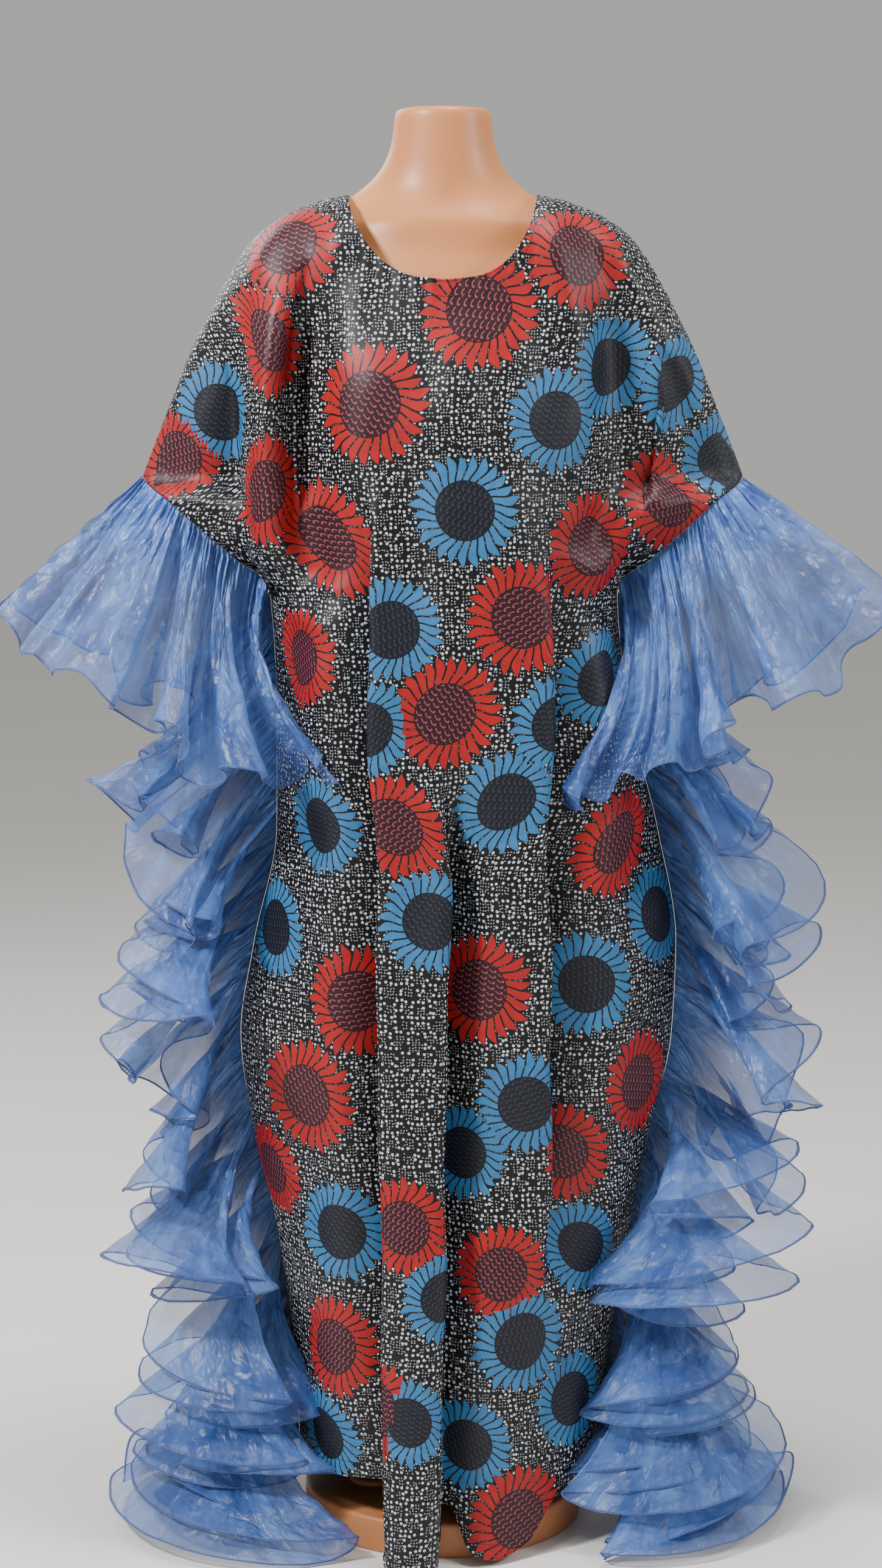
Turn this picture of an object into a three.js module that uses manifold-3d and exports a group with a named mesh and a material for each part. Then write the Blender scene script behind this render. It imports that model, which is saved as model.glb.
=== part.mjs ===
// A printed cotton boubou gown with organza ruffles, hung on a limbless dress form on a round base.
//
// Millimetres, +Z up, the floor at z = 0, the middle of the base at the origin, the front facing -Y.
// The wearer's right side is -X. Every piece of cloth is a sheet of points worked out from the tables
// below, which thicken() turns into a closed wall.
import * as THREE from 'three';
import Module from 'manifold-3d';
import { mergeVertices } from 'three/addons/utils/BufferGeometryUtils.js';

// ---- driving sizes ------------------------------------------------------------------------------
const COTTON = 1.6; // wall of the printed cotton
const ORGANZA = 1.2; // wall of the ruffles
const HEM_LEVEL = 60; // height at which a column is matched to its place on the hem
const SEAM_GAP = 0.3; // between the front and the back along their seams
const RUFFLE_GAP = 0.9; // between the side ruffle and the seam that it is gathered into
const MOUTH_GAP = 1.7; // between the middle of a sleeve ruffle and the outer face of the mouth's edge
const NECK_HALF_WIDTH = 99.5;
const SLEEVE_HEM = 1148; // height of the sleeve's outer corner
const UNDERARM = 1030; // height at which the sleeve's mouth meets the side seam
const SHOULDER_ROUND = 60; // how far below the shoulder line the cloth turns from flat to upright
const YOKE_ROWS = [0, 4, 13, 28, 50, 80]; // rows of points over the shoulder, by drop from its line
const FRONT_ROWS = 18; // rows below those
const BACK_ROWS = 13;
const WING_COLUMNS = 5; // columns from a panel's outer edge to its first fold
const FOLD_SHARE = 0.46; // share of the way to the next fold that a fold's own columns may take
const EDGE_SHARE = 0.5; // and of the way to the panel's edge
const FOLD_FADE = 170; // length over which a fold grows from nothing to its full size
const PIPE_FADE = 0.2; // share of a pipe's length over which it grows, at either end
const EDGE_CALM = 40; // folds and pipes die away within this distance of a side edge
const SLOPE_STEP = 8; // half the span over which the cloth's slope is measured
const TOP_GUESS = { between: 1300, atFold: 1400 }; // heights from which a column's top is sought
const HALVINGS = 60;
const MOUTH_PARTED = 2; // an edge that stands further than this from the seam plane is an open mouth
const SIDE_STEPS = 10; // columns in one wave of a side ruffle
const MOUTH_STEPS = 8; // and of a sleeve ruffle
const THREAD_STEPS = 24; // steps in which the curling path of a ruffle's thread is added up
const FORM_SEAT = 1.35; // the cotton's inner face lies this far above the form's shoulders

// Shoulder and arm line, from the neck out to the sleeve's corner: half width and height.
const ARM_LINE = [
  { x: 0, z: 1452 },
  { x: 70, z: 1447 },
  { x: 99.5, z: 1442 },
  { x: 128, z: 1436 },
  { x: 166, z: 1421 },
  { x: 192, z: 1404 },
  { x: 210, z: 1384 },
  { x: 230, z: 1352 },
  { x: 250, z: 1315 },
  { x: 270, z: 1274 },
  { x: 290, z: 1224 },
  { x: 305, z: 1187 },
  { x: 320, z: SLEEVE_HEM },
];

// Neckline: height of the turned edge across the neck, front and back.
const NECKLINE = [
  { x: 0, front: 1350, back: 1416 },
  { x: 35, front: 1354, back: 1418 },
  { x: 62, front: 1367, back: 1423 },
  { x: 82, front: 1389, back: 1429 },
  { x: 94, front: 1416, back: 1435 },
  { x: 99.5, front: 1442, back: 1442 },
];

// The gown at each height: where its outer edges lie (the side seams, and above the underarm the
// sleeve mouths), how wide the trunk of the cloth is, how far it stands to the front and the back,
// how deep the wing of the sleeve hangs, and how far the two edges of the mouth are parted.
const GOWN = [
  { z: 0, right: -158, left: 170, trunk: 160, front: 182, back: 184, wing: 0, mouth: 0 },
  { z: 100, right: -160, left: 176, trunk: 165, front: 176, back: 180, wing: 0, mouth: 0 },
  { z: 200, right: -168, left: 187, trunk: 176, front: 167, back: 170, wing: 0, mouth: 0 },
  { z: 330, right: -184, left: 208, trunk: 196, front: 156, back: 158, wing: 0, mouth: 0 },
  { z: 430, right: -207, left: 226, trunk: 216, front: 146, back: 150, wing: 0, mouth: 0 },
  { z: 540, right: -221, left: 250, trunk: 235, front: 145, back: 146, wing: 0, mouth: 0 },
  { z: 640, right: -206, left: 254, trunk: 230, front: 144, back: 142, wing: 0, mouth: 0 },
  { z: 770, right: -180, left: 232, trunk: 206, front: 142, back: 138, wing: 0, mouth: 0 },
  { z: 900, right: -179, left: 200, trunk: 190, front: 140, back: 132, wing: 4, mouth: 0 },
  { z: UNDERARM, right: -186, left: 187, trunk: 192, front: 138, back: 124, wing: 12, mouth: 0 },
  { z: 1060, right: -220, left: 221, trunk: 200, front: 137, back: 122, wing: 18, mouth: 30 },
  { z: 1090, right: -254, left: 254, trunk: 206, front: 136, back: 120, wing: 22, mouth: 40 },
  { z: 1120, right: -288, left: 287, trunk: 212, front: 136, back: 118, wing: 24, mouth: 34 },
  { z: SLEEVE_HEM, right: -320, left: 320, trunk: 216, front: 135, back: 116, wing: 26, mouth: 0 },
  { z: 1200, right: -320, left: 320, trunk: 220, front: 133, back: 113, wing: 34, mouth: 0 },
  { z: 1250, right: -320, left: 320, trunk: 222, front: 127, back: 110, wing: 42, mouth: 0 },
  { z: 1350, right: -320, left: 320, trunk: 226, front: 104, back: 104, wing: 52, mouth: 0 },
  { z: 1460, right: -320, left: 320, trunk: 230, front: 88, back: 88, wing: 60, mouth: 0 },
];

// Hem: how high the lower edge of the front and of the back hangs above the floor.
const HEM_FRONT = [
  { x: -150, z: 66 },
  { x: -115, z: 84 },
  { x: -62, z: 88 },
  { x: -48, z: 9 },
  { x: -12, z: 6 },
  { x: 0, z: 56 },
  { x: 20, z: 64 },
  { x: 34, z: 14 },
  { x: 56, z: 7 },
  { x: 90, z: 18 },
  { x: 120, z: 60 },
  { x: 166, z: 66 },
];
const HEM_BACK = [
  { x: -150, z: 66 },
  { x: -100, z: 60 },
  { x: -50, z: 24 },
  { x: 0, z: 16 },
  { x: 60, z: 24 },
  { x: 110, z: 60 },
  { x: 166, z: 66 },
];

// Overlapping folds. Each hangs on a path of (height, x) and lays its crest over its trough: `over` is
// +1 where the cloth on the -X side lies on top. `from` and `to` are the heights where it starts and
// ends, `deep` and `lap` its depth and overlap at full size, `half` half the distance crest to trough.
const FOLDS_FRONT = [
  {
    name: 'right armhole', over: 1, from: 1425, to: 990, deep: 20, lap: 22, half: 20,
    path: [
      { z: 1436, x: -126 },
      { z: 1340, x: -148 },
      { z: 1200, x: -166 },
      { z: 1030, x: -154 },
      { z: 900, x: -142 },
    ],
  },
  {
    name: 'right of the strip', over: -1, from: 1180, to: -400, deep: 21, lap: 17, half: 17,
    path: [{ z: 1180, x: -78 }, { z: 900, x: -66 }, { z: 500, x: -60 }, { z: 0, x: -51 }],
  },
  {
    name: 'middle', over: 1, from: 880, to: -500, deep: 22, lap: 15, half: 15,
    path: [{ z: 880, x: 6 }, { z: 500, x: 2 }, { z: 250, x: 0 }, { z: 0, x: -3 }],
  },
  {
    name: 'left of the middle', over: 1, from: 1120, to: 250, deep: 15, lap: 14, half: 17,
    path: [{ z: 1120, x: 112 }, { z: 800, x: 106 }, { z: 250, x: 112 }],
  },
  {
    name: 'left armhole', over: -1, from: 1400, to: 1010, deep: 14, lap: 9, half: 19,
    path: [
      { z: 1404, x: 186 },
      { z: 1300, x: 201 },
      { z: 1150, x: 206 },
      { z: 1030, x: 152 },
      { z: 900, x: 146 },
    ],
  },
];
const FOLDS_BACK = [
  {
    name: 'right armhole', over: 1, from: 1415, to: 1000, deep: 14, lap: 12, half: 19,
    path: [
      { z: 1430, x: -140 },
      { z: 1300, x: -160 },
      { z: 1150, x: -172 },
      { z: 1030, x: -160 },
      { z: 900, x: -142 },
    ],
  },
  {
    name: 'right shoulder blade', over: -1, from: 1250, to: -500, deep: 18, lap: 14, half: 18,
    path: [{ z: 1250, x: -92 }, { z: 700, x: -84 }, { z: 0, x: -72 }],
  },
  {
    name: 'middle', over: 1, from: 1320, to: -500, deep: 19, lap: 15, half: 18,
    path: [{ z: 1320, x: -8 }, { z: 700, x: -4 }, { z: 0, x: 4 }],
  },
  {
    name: 'left shoulder blade', over: 1, from: 1200, to: -400, deep: 17, lap: 13, half: 18,
    path: [{ z: 1200, x: 90 }, { z: 700, x: 96 }, { z: 0, x: 82 }],
  },
  {
    name: 'left armhole', over: -1, from: 1400, to: 1000, deep: 14, lap: 12, half: 19,
    path: [
      { z: 1410, x: 178 },
      { z: 1300, x: 186 },
      { z: 1150, x: 184 },
      { z: 1030, x: 164 },
      { z: 900, x: 154 },
    ],
  },
];

// Soft pipes between the folds: round ridges (high > 0) and hollows (high < 0) along a straight path.
const PIPES_FRONT = [
  { topZ: 1400, topX: -236, endZ: 1090, endX: -262, half: 22, high: 7 },
  { topZ: 1330, topX: -60, endZ: 860, endX: -116, half: 24, high: 7 },
  { topZ: 1120, topX: -110, endZ: 40, endX: -100, half: 22, high: 9 },
  { topZ: 1330, topX: 20, endZ: 700, endX: -28, half: 24, high: 8 },
  { topZ: 760, topX: -30, endZ: -300, endX: -30, half: 16, high: 8 },
  { topZ: 1330, topX: 66, endZ: 60, endX: 60, half: 24, high: 8 },
  { topZ: 1100, topX: 158, endZ: 300, endX: 176, half: 22, high: 10 },
  { topZ: 1390, topX: 240, endZ: 1090, endX: 250, half: 20, high: 6 },
];
const PIPES_BACK = [
  { topZ: 1390, topX: -240, endZ: 1090, endX: -256, half: 22, high: 6 },
  { topZ: 1340, topX: -50, endZ: 0, endX: -40, half: 24, high: 9 },
  { topZ: 1000, topX: -130, endZ: 0, endX: -112, half: 22, high: 10 },
  { topZ: 1340, topX: 44, endZ: 0, endX: 40, half: 24, high: 9 },
  { topZ: 1000, topX: 142, endZ: 0, endX: 124, half: 22, high: 10 },
  { topZ: 1390, topX: 236, endZ: 1090, endX: 252, half: 22, high: 6 },
];

// Side ruffles, one row a wave from the underarm down: height of the wave's top on the seam, how deep
// the strip is, how many degrees its free edge swings to the front and to the back, and how steeply it
// droops where it points straight outwards. Where it swings to the front it hangs a little steeper.
const FRONT_SAG = 0.08;
const SWING_TURN = 0.48; // share of the swing that a thread has at the seam
const SWING_CURL = 0.8; // and that it curls on by its free edge
const FLOOR_CLEAR = 3; // the ruffles end this far above the floor
const SIDE_RIGHT = [
  { z: 1024, deep: 176, front: 8, back: 8, droop: 50 },
  { z: 962, deep: 196, front: 26, back: 22, droop: 46 },
  { z: 862, deep: 222, front: 62, back: 46, droop: 38 },
  { z: 758, deep: 226, front: 68, back: 60, droop: 36 },
  { z: 664, deep: 202, front: 58, back: 60, droop: 43 },
  { z: 560, deep: 190, front: 62, back: 62, droop: 46 },
  { z: 462, deep: 204, front: 80, back: 66, droop: 46 },
  { z: 362, deep: 220, front: 116, back: 74, droop: 44 },
  { z: 262, deep: 230, front: 134, back: 84, droop: 42 },
  { z: 160, deep: 228, front: 126, back: 70, droop: 33 },
  { z: 78, deep: 212, front: 90, back: 20, droop: 18 },
];
const SIDE_LEFT = [
  { z: 1024, deep: 176, front: 8, back: 8, droop: 50 },
  { z: 956, deep: 200, front: 26, back: 22, droop: 46 },
  { z: 852, deep: 238, front: 64, back: 48, droop: 35 },
  { z: 744, deep: 204, front: 58, back: 58, droop: 40 },
  { z: 652, deep: 190, front: 56, back: 60, droop: 44 },
  { z: 548, deep: 212, front: 60, back: 60, droop: 40 },
  { z: 446, deep: 206, front: 104, back: 66, droop: 43 },
  { z: 346, deep: 214, front: 130, back: 74, droop: 45 },
  { z: 250, deep: 226, front: 132, back: 82, droop: 42 },
  { z: 156, deep: 228, front: 128, back: 70, droop: 33 },
  { z: 78, deep: 212, front: 90, back: 20, droop: 18 },
];

// Sleeve ruffles, from the sleeve's corner (at 0) along the mouth to the underarm (at 1): the way the
// strip leaves the seam (turn, in degrees from straight outwards to straight ahead), how many more
// degrees it curls by its free edge, how steeply it falls, how deep it is and how high it waves.
const MOUTH = [
  { at: 0, turn: 6, curl: 0, fall: 43, deep: 214, wave: 18 },
  { at: 0.25, turn: 34, curl: 0, fall: 60, deep: 222, wave: 22 },
  { at: 0.55, turn: 62, curl: 0, fall: 72, deep: 232, wave: 24 },
  { at: 0.85, turn: 66, curl: 86, fall: 59, deep: 256, wave: 16 },
  { at: 1, turn: 62, curl: 124, fall: 52, deep: 268, wave: 10 },
];
const MOUTH_WAVES = 4.5;
const MOUTH_FROM = 0.012; // the strip's two ends, as shares of the way down the mouth
const MOUTH_TO = 0.985;
const MOUTH_RUN = 134; // how far the mouth reaches sideways from the corner to the underarm
const WAVE_REST = 0.6; // a wave's middle stands this share of its height above the straight strip
const WAVE_GROWTH = 1.15; // power by which a wave grows from the seam to the free edge
const EDGE_RIPPLE = 6; // up and down ripple of the free edge
const START_FRONT = 0.2; // where in its wave the front strip starts, and the back strip
const START_BACK = 1.1;

// Dress form: half width and depth of its outer face at each height.
const FORM = [
  { z: 690, half: 72, front: 44, back: 44 },
  { z: 700, half: 96, front: 60, back: 60 },
  { z: 760, half: 138, front: 88, back: 92 },
  { z: 830, half: 158, front: 101, back: 108 },
  { z: 900, half: 163, front: 106, back: 112 },
  { z: 980, half: 146, front: 99, back: 98 },
  { z: 1060, half: 124, front: 92, back: 80 },
  { z: 1130, half: 130, front: 104, back: 82 },
  { z: 1200, half: 148, front: 119, back: 88 },
  { z: 1250, half: 158, front: 115, back: 92 },
  { z: 1300, half: 168, front: 104, back: 93 },
  { z: 1350, half: 181, front: 90, back: 86, power: 1.95 },
  { z: 1384, half: 183, front: 76, back: 75, power: 1.6 },
];
// Shoulder sections follow the arm line at these half widths, thinner and sharper towards the neck.
const FORM_SHOULDER = [179, 172, 162, 148, 128, 110, 94];
const SHOULDER = {
  inner: 128,
  outer: 178,
  innerDepth: 56,
  outerDepth: 70,
  innerPower: 1.12,
  outerPower: 1.45,
};
const SHOULDER_EASE = 1.6; // further clearance of the cotton over the outer end of the shoulder
const FORM_NECK = [
  { z: 1449, half: 74, front: 54.5, back: 54.5, power: 1.5 },
  { z: 1458, half: 59, front: 52.5, back: 52.5, power: 1.9 },
  { z: 1472, half: 51.5, front: 51.5, back: 51.5, power: 2 },
  { z: 1521, half: 51, front: 51, back: 51, power: 2 },
  { z: 1528, half: 48.6, front: 48.6, back: 48.6, power: 2 },
  { z: 1530, half: 44, front: 44, back: 44, power: 2 },
];
const FORM_SIDES = 30;
const FORM_POWER = 2.1; // 2 is an ellipse, more is squarer
const POST_RADIUS = 15;
const BASE_RADIUS = 153;
const BASE_HEIGHT = 38;
const BASE_DOME = 6; // the middle of the base's top stands this much above its rim
const BASE_RIM = 5; // rounding of the base's upper edge
const BASE_FOOT = 3; // and of its lower edge
const BASE_SIDES = 44;
const POST_SIDES = 20;
const BOSS = { x: -76, front: -52, back: 34, half: 27, height: 9, edge: 4, root: 20 };

const wasm = await Module();
wasm.setup();

// ---- materials ----------------------------------------------------------------------------------
const cotton = new THREE.MeshStandardMaterial({ color: 0x2b2a30, roughness: 0.62, metalness: 0 });
const organza = new THREE.MeshStandardMaterial({ color: 0x5b84c4, roughness: 0.35, metalness: 0 });
const plastic = new THREE.MeshStandardMaterial({ color: 0xd9a982, roughness: 0.35, metalness: 0 });
const steel = new THREE.MeshStandardMaterial({ color: 0xb9bcc0, roughness: 0.3, metalness: 0.9 });

// ---- curves and tables --------------------------------------------------------------------------
// A smooth reading of a table that never overshoots its rows: the value of `out` where `key` is `at`.
function reader(rows, key, out) {
  const sorted = [...rows].sort((a, b) => a[key] - b[key]);
  const xs = sorted.map((row) => row[key]);
  const ys = sorted.map((row) => row[out]);
  const steps = xs.slice(1).map((x, i) => (ys[i + 1] - ys[i]) / (x - xs[i]));
  const slopes = ys.map((_, i) => {
    if (i === 0 || i === ys.length - 1) return steps[Math.min(i, steps.length - 1)];
    const [a, b] = [steps[i - 1], steps[i]];
    return a * b <= 0 ? 0 : (2 * a * b) / (a + b);
  });
  return (at) => {
    const x = Math.min(Math.max(at, xs[0]), xs[xs.length - 1]);
    let i = 0;
    while (i < xs.length - 2 && x > xs[i + 1]) i += 1;
    const span = xs[i + 1] - xs[i];
    const t = (x - xs[i]) / span;
    const [t2, t3] = [t * t, t * t * t];
    return (2 * t3 - 3 * t2 + 1) * ys[i] + (t3 - 2 * t2 + t) * span * slopes[i]
      + (3 * t2 - 2 * t3) * ys[i + 1] + (t3 - t2) * span * slopes[i + 1];
  };
}

const clamp01 = (t) => Math.min(Math.max(t, 0), 1);
const ease = (t) => clamp01(t) ** 2 * (3 - 2 * clamp01(t));
const mix = (a, b, t) => a + (b - a) * t;

const armLine = reader(ARM_LINE, 'x', 'z');
const gown = {};
for (const column of ['right', 'left', 'trunk', 'front', 'back', 'wing', 'mouth']) {
  gown[column] = reader(GOWN, 'z', column);
}

// ---- the gown's cloth ---------------------------------------------------------------------------
// Depth of the cloth from the seam plane, before any fold, at a place in the front view.
function depthAt(x, z, side) {
  const below = armLine(Math.abs(x)) - z;
  const round = Math.sqrt(1 - (1 - clamp01(below / SHOULDER_ROUND)) ** 2);
  const edge = Math.abs(x < 0 ? gown.right(z) : gown.left(z));
  const trunkHalf = z < UNDERARM ? edge : gown.trunk(z);
  const trunk = gown[side](z) * Math.sqrt(Math.max(0, 1 - (x / trunkHalf) ** 2));
  const wing = gown.wing(z) * Math.sqrt(Math.max(0, 1 - (x / edge) ** 2)) + gown.mouth(z);
  return round * (trunk ** 4 + wing ** 4) ** 0.25;
}

// How strongly a fold shows at a height, from nothing at its ends to full a hand's breadth inside.
function foldStrength(fold, z) {
  return ease((fold.from - z) / FOLD_FADE) * ease((z - fold.to) / FOLD_FADE);
}

// One panel: a sheet of points from the arm line and neckline down to the hem.
function panelShape(side, folds, pipes, hemRows, close) {
  const out = side === 'front' ? -1 : 1;
  const neck = reader(NECKLINE, 'x', side);
  const hem = reader(hemRows, 'x', 'z');
  const paths = folds.map((fold) => reader(fold.path, 'z', 'x'));
  const topLine = (x) => (Math.abs(x) < NECK_HALF_WIDTH ? neck(Math.abs(x)) : armLine(Math.abs(x)));

  // Columns follow the folds, and stand closer together where the cloth turns over itself.
  const anchors = (z) => [gown.right(z), ...paths.map((path) => path(z)), gown.left(z)];
  const columns = [];
  folds.forEach((_, k) => {
    const between = k === 0 ? WING_COLUMNS : 2;
    for (let i = k === 0 ? 0 : 1; i < between; i += 1) {
      columns.push({ from: k, share: i / between });
    }
    close.forEach((step) => columns.push({ at: k + 1, step }));
  });
  for (let i = 1; i <= WING_COLUMNS; i += 1) columns.push({ from: folds.length, share: i / WING_COLUMNS });

  // How far a fold's own columns reach to one side (way is -1 or 1). They draw in where the next fold
  // or the panel's edge is near, so that no two columns cross.
  const widest = close[close.length - 1];
  function reach(a, k, way) {
    if (k === 0 || k === a.length - 1) return 0;
    const next = k + way;
    const atEdge = next === 0 || next === a.length - 1;
    const room = Math.max(Math.abs(a[next] - a[k]), 1) * (atEdge ? EDGE_SHARE : FOLD_SHARE);
    return Math.min(widest * folds[k - 1].half, room);
  }

  // The x of a column at a height, before the folds move it.
  function columnX(column, z) {
    const a = anchors(z);
    if (column.at !== undefined) {
      return a[column.at] + (column.step / widest) * reach(a, column.at, Math.sign(column.step));
    }
    const start = a[column.from] + reach(a, column.from, 1);
    const end = a[column.from + 1] - reach(a, column.from + 1, -1);
    return mix(start, end, column.share);
  }

  // Where a point of the flat front view goes once the cloth hangs in its folds.
  function place(x, z) {
    const y = depthAt(x, z, side);
    const [ahead, behind] = [depthAt(x + SLOPE_STEP, z, side), depthAt(x - SLOPE_STEP, z, side)];
    const slope = (ahead - behind) / (2 * SLOPE_STEP);
    const length = Math.hypot(1, slope);
    const tangent = [1 / length, slope / length];
    const normal = [-slope / length, 1 / length];
    const below = armLine(Math.abs(x)) - z;
    const nearEdge = Math.min(x - gown.right(z), gown.left(z) - x);
    const calm = ease(nearEdge / EDGE_CALM) * ease(below / SHOULDER_ROUND);
    let along = 0;
    let away = 0;
    folds.forEach((fold, k) => {
      const strength = foldStrength(fold, z) * calm;
      const q = (x - paths[k](z)) / fold.half;
      const swell = q * Math.exp(0.5 - (q * q) / 2);
      along -= strength * fold.lap * swell;
      away -= strength * fold.deep * swell * fold.over;
    });
    pipes.forEach((pipe) => {
      const t = (pipe.topZ - z) / (pipe.topZ - pipe.endZ);
      const q = (x - mix(pipe.topX, pipe.endX, t)) / pipe.half;
      const fade = ease(t / PIPE_FADE) * ease((1 - t) / PIPE_FADE);
      away += calm * pipe.high * fade * Math.exp((-q * q) / 2);
    });
    const px = x + along * tangent[0] + away * normal[0];
    const py = y + along * tangent[1] + away * normal[1];
    return new THREE.Vector3(px, out * Math.max(py, SEAM_GAP / 2), z);
  }

  // The height at which a column reaches the shoulder line or the neckline, found by halving.
  function columnTop(column) {
    let z = column.at === undefined ? TOP_GUESS.between : TOP_GUESS.atFold;
    for (let i = 0; i < HALVINGS; i += 1) z = mix(z, topLine(columnX(column, z)), 0.5);
    return z;
  }

  return { columns, columnX, columnTop, place, hem };
}

function panelSheet(shape, rows) {
  const sheet = { points: [], width: shape.columns.length, seam: new Set() };
  const tops = shape.columns.map((column) => shape.columnTop(column));
  const yoke = YOKE_ROWS[YOKE_ROWS.length - 1];
  for (let j = 0; j < YOKE_ROWS.length + rows; j += 1) {
    shape.columns.forEach((column, i) => {
      const low = shape.hem(shape.columnX(column, HEM_LEVEL));
      const share = (j - YOKE_ROWS.length + 1) / rows;
      const z = share <= 0 ? tops[i] - YOKE_ROWS[j] : mix(tops[i] - yoke, low, share);
      const point = shape.place(shape.columnX(column, z), z);
      const atSide = i === 0 || i === shape.columns.length - 1;
      const atMouth = Math.abs(point.y) > MOUTH_PARTED;
      const atShoulder = j === 0 && Math.abs(point.x) >= NECK_HALF_WIDTH - 1;
      if ((atSide && !atMouth) || atShoulder) sheet.seam.add(sheet.points.length);
      sheet.points.push(point);
    });
  }
  return sheet;
}

// ---- walls --------------------------------------------------------------------------------------
// Turns a grid of points into a closed wall. The points are its outer face, or its middle where
// `centred` is set. Along a seam the wall's rim stays in the seam plane.
function thicken(sheet, thickness, { flip = false, centred = false } = {}) {
  const { points, width } = sheet;
  const height = points.length / width;
  const faces = [];
  for (let j = 0; j < height - 1; j += 1) {
    for (let i = 0; i < width - 1; i += 1) {
      const a = j * width + i;
      const [b, c, d] = [a + 1, a + width + 1, a + width];
      const even = points[a].distanceTo(points[c]) < points[b].distanceTo(points[d]);
      if (even) faces.push([a, c, b], [a, d, c]);
      else faces.push([a, d, b], [b, d, c]);
    }
  }
  if (flip) faces.forEach((face) => face.reverse());

  const normals = points.map(() => new THREE.Vector3());
  faces.forEach(([a, b, c]) => {
    const ab = points[b].clone().sub(points[a]);
    const ac = points[c].clone().sub(points[a]);
    const normal = ab.cross(ac).normalize();
    [a, b, c].forEach((index) => normals[index].add(normal));
  });
  normals.forEach((normal, index) => {
    if (sheet.seam?.has(index)) normal.y = 0;
    normal.normalize();
  });

  const outer = points.map((p, i) => p.clone().addScaledVector(normals[i], centred ? thickness / 2 : 0));
  const inner = outer.map((p, i) => p.clone().addScaledVector(normals[i], -thickness));
  const count = points.length;
  const triangles = [...faces];
  faces.forEach(([a, b, c]) => triangles.push([a + count, c + count, b + count]));

  const edges = new Map();
  faces.forEach((face) => face.forEach((a, k) => {
    const b = face[(k + 1) % 3];
    if (!edges.delete(`${b},${a}`)) edges.set(`${a},${b}`, [a, b]);
  }));
  edges.forEach(([a, b]) => triangles.push([b, a, a + count], [b, a + count, b + count]));
  return solid([...outer, ...inner], triangles);
}

function solid(points, triangles) {
  const geometry = new THREE.BufferGeometry();
  const numbers = points.flatMap((p) => [p.x, p.y, p.z]);
  geometry.setAttribute('position', new THREE.Float32BufferAttribute(numbers, 3));
  geometry.setIndex(triangles.flat());
  geometry.computeVertexNormals();
  return geometry;
}

function piece(name, geometry, material) {
  const mesh = new THREE.Mesh(geometry, material);
  mesh.name = name;
  return mesh;
}

// ---- ruffles ------------------------------------------------------------------------------------
// A point on the panel's own edge at a height, so that the ruffle's seam lies along its facets.
function edgeAt(edge, z) {
  let i = 0;
  while (i < edge.length - 2 && edge[i + 1].z > z) i += 1;
  const t = clamp01((edge[i].z - z) / (edge[i].z - edge[i + 1].z));
  return edge[i].clone().lerp(edge[i + 1], t);
}

// The path of one thread of a ruffle from its seam to its free edge, as points at the given shares of
// its length. It heads away from the seam, turned to the front or the back, and curls on as it goes.
function thread(start, side, length, { turn, curl, fall }, shares) {
  const drop = THREE.MathUtils.degToRad(fall);
  const run = (length / THREAD_STEPS) * Math.cos(drop);
  return shares.map((share) => {
    const point = start.clone();
    for (let m = 0; m < THREAD_STEPS; m += 1) {
      const s = ((m + 0.5) / THREAD_STEPS) * share;
      const angle = THREE.MathUtils.degToRad(turn + curl * s);
      point.x += side * Math.cos(angle) * run * share;
      point.y -= Math.sin(angle) * run * share;
    }
    point.z -= length * share * Math.sin(drop);
    return point;
  });
}

const ACROSS = [0, 0.12, 0.34, 0.66, 1]; // rows of a ruffle, from its seam to its free edge

// A strip gathered into the side seam. Its free edge swings to the front and the back of the seam.
function sideRuffle(edges, rows, side) {
  const [deep, front, back, droop] = ['deep', 'front', 'back', 'droop'].map((k) => reader(rows, 'z', k));
  const count = (rows.length - 1) * SIDE_STEPS;
  const points = [];
  for (let i = 0; i <= count; i += 1) {
    const wave = i / SIDE_STEPS;
    const k = Math.min(Math.floor(wave), rows.length - 2);
    const z = mix(rows[k].z, rows[k + 1].z, wave - k);
    const swing = Math.sin(2 * Math.PI * wave);
    const degrees = swing > 0 ? front(z) * swing : back(z) * swing;
    const furthest = Math.max(...edges.map((edge) => Math.abs(edgeAt(edge, z).x)));
    const start = new THREE.Vector3(side * (furthest + RUFFLE_GAP), 0, z);
    const fall = droop(z) * (1 + FRONT_SAG * Math.max(swing, 0));
    const way = { turn: degrees * SWING_TURN, curl: degrees * SWING_CURL, fall };
    thread(start, side, deep(z), way, ACROSS).forEach((point) => {
      point.z = Math.max(point.z, FLOOR_CLEAR);
      points.push(point);
    });
  }
  return { points, width: ACROSS.length };
}

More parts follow.
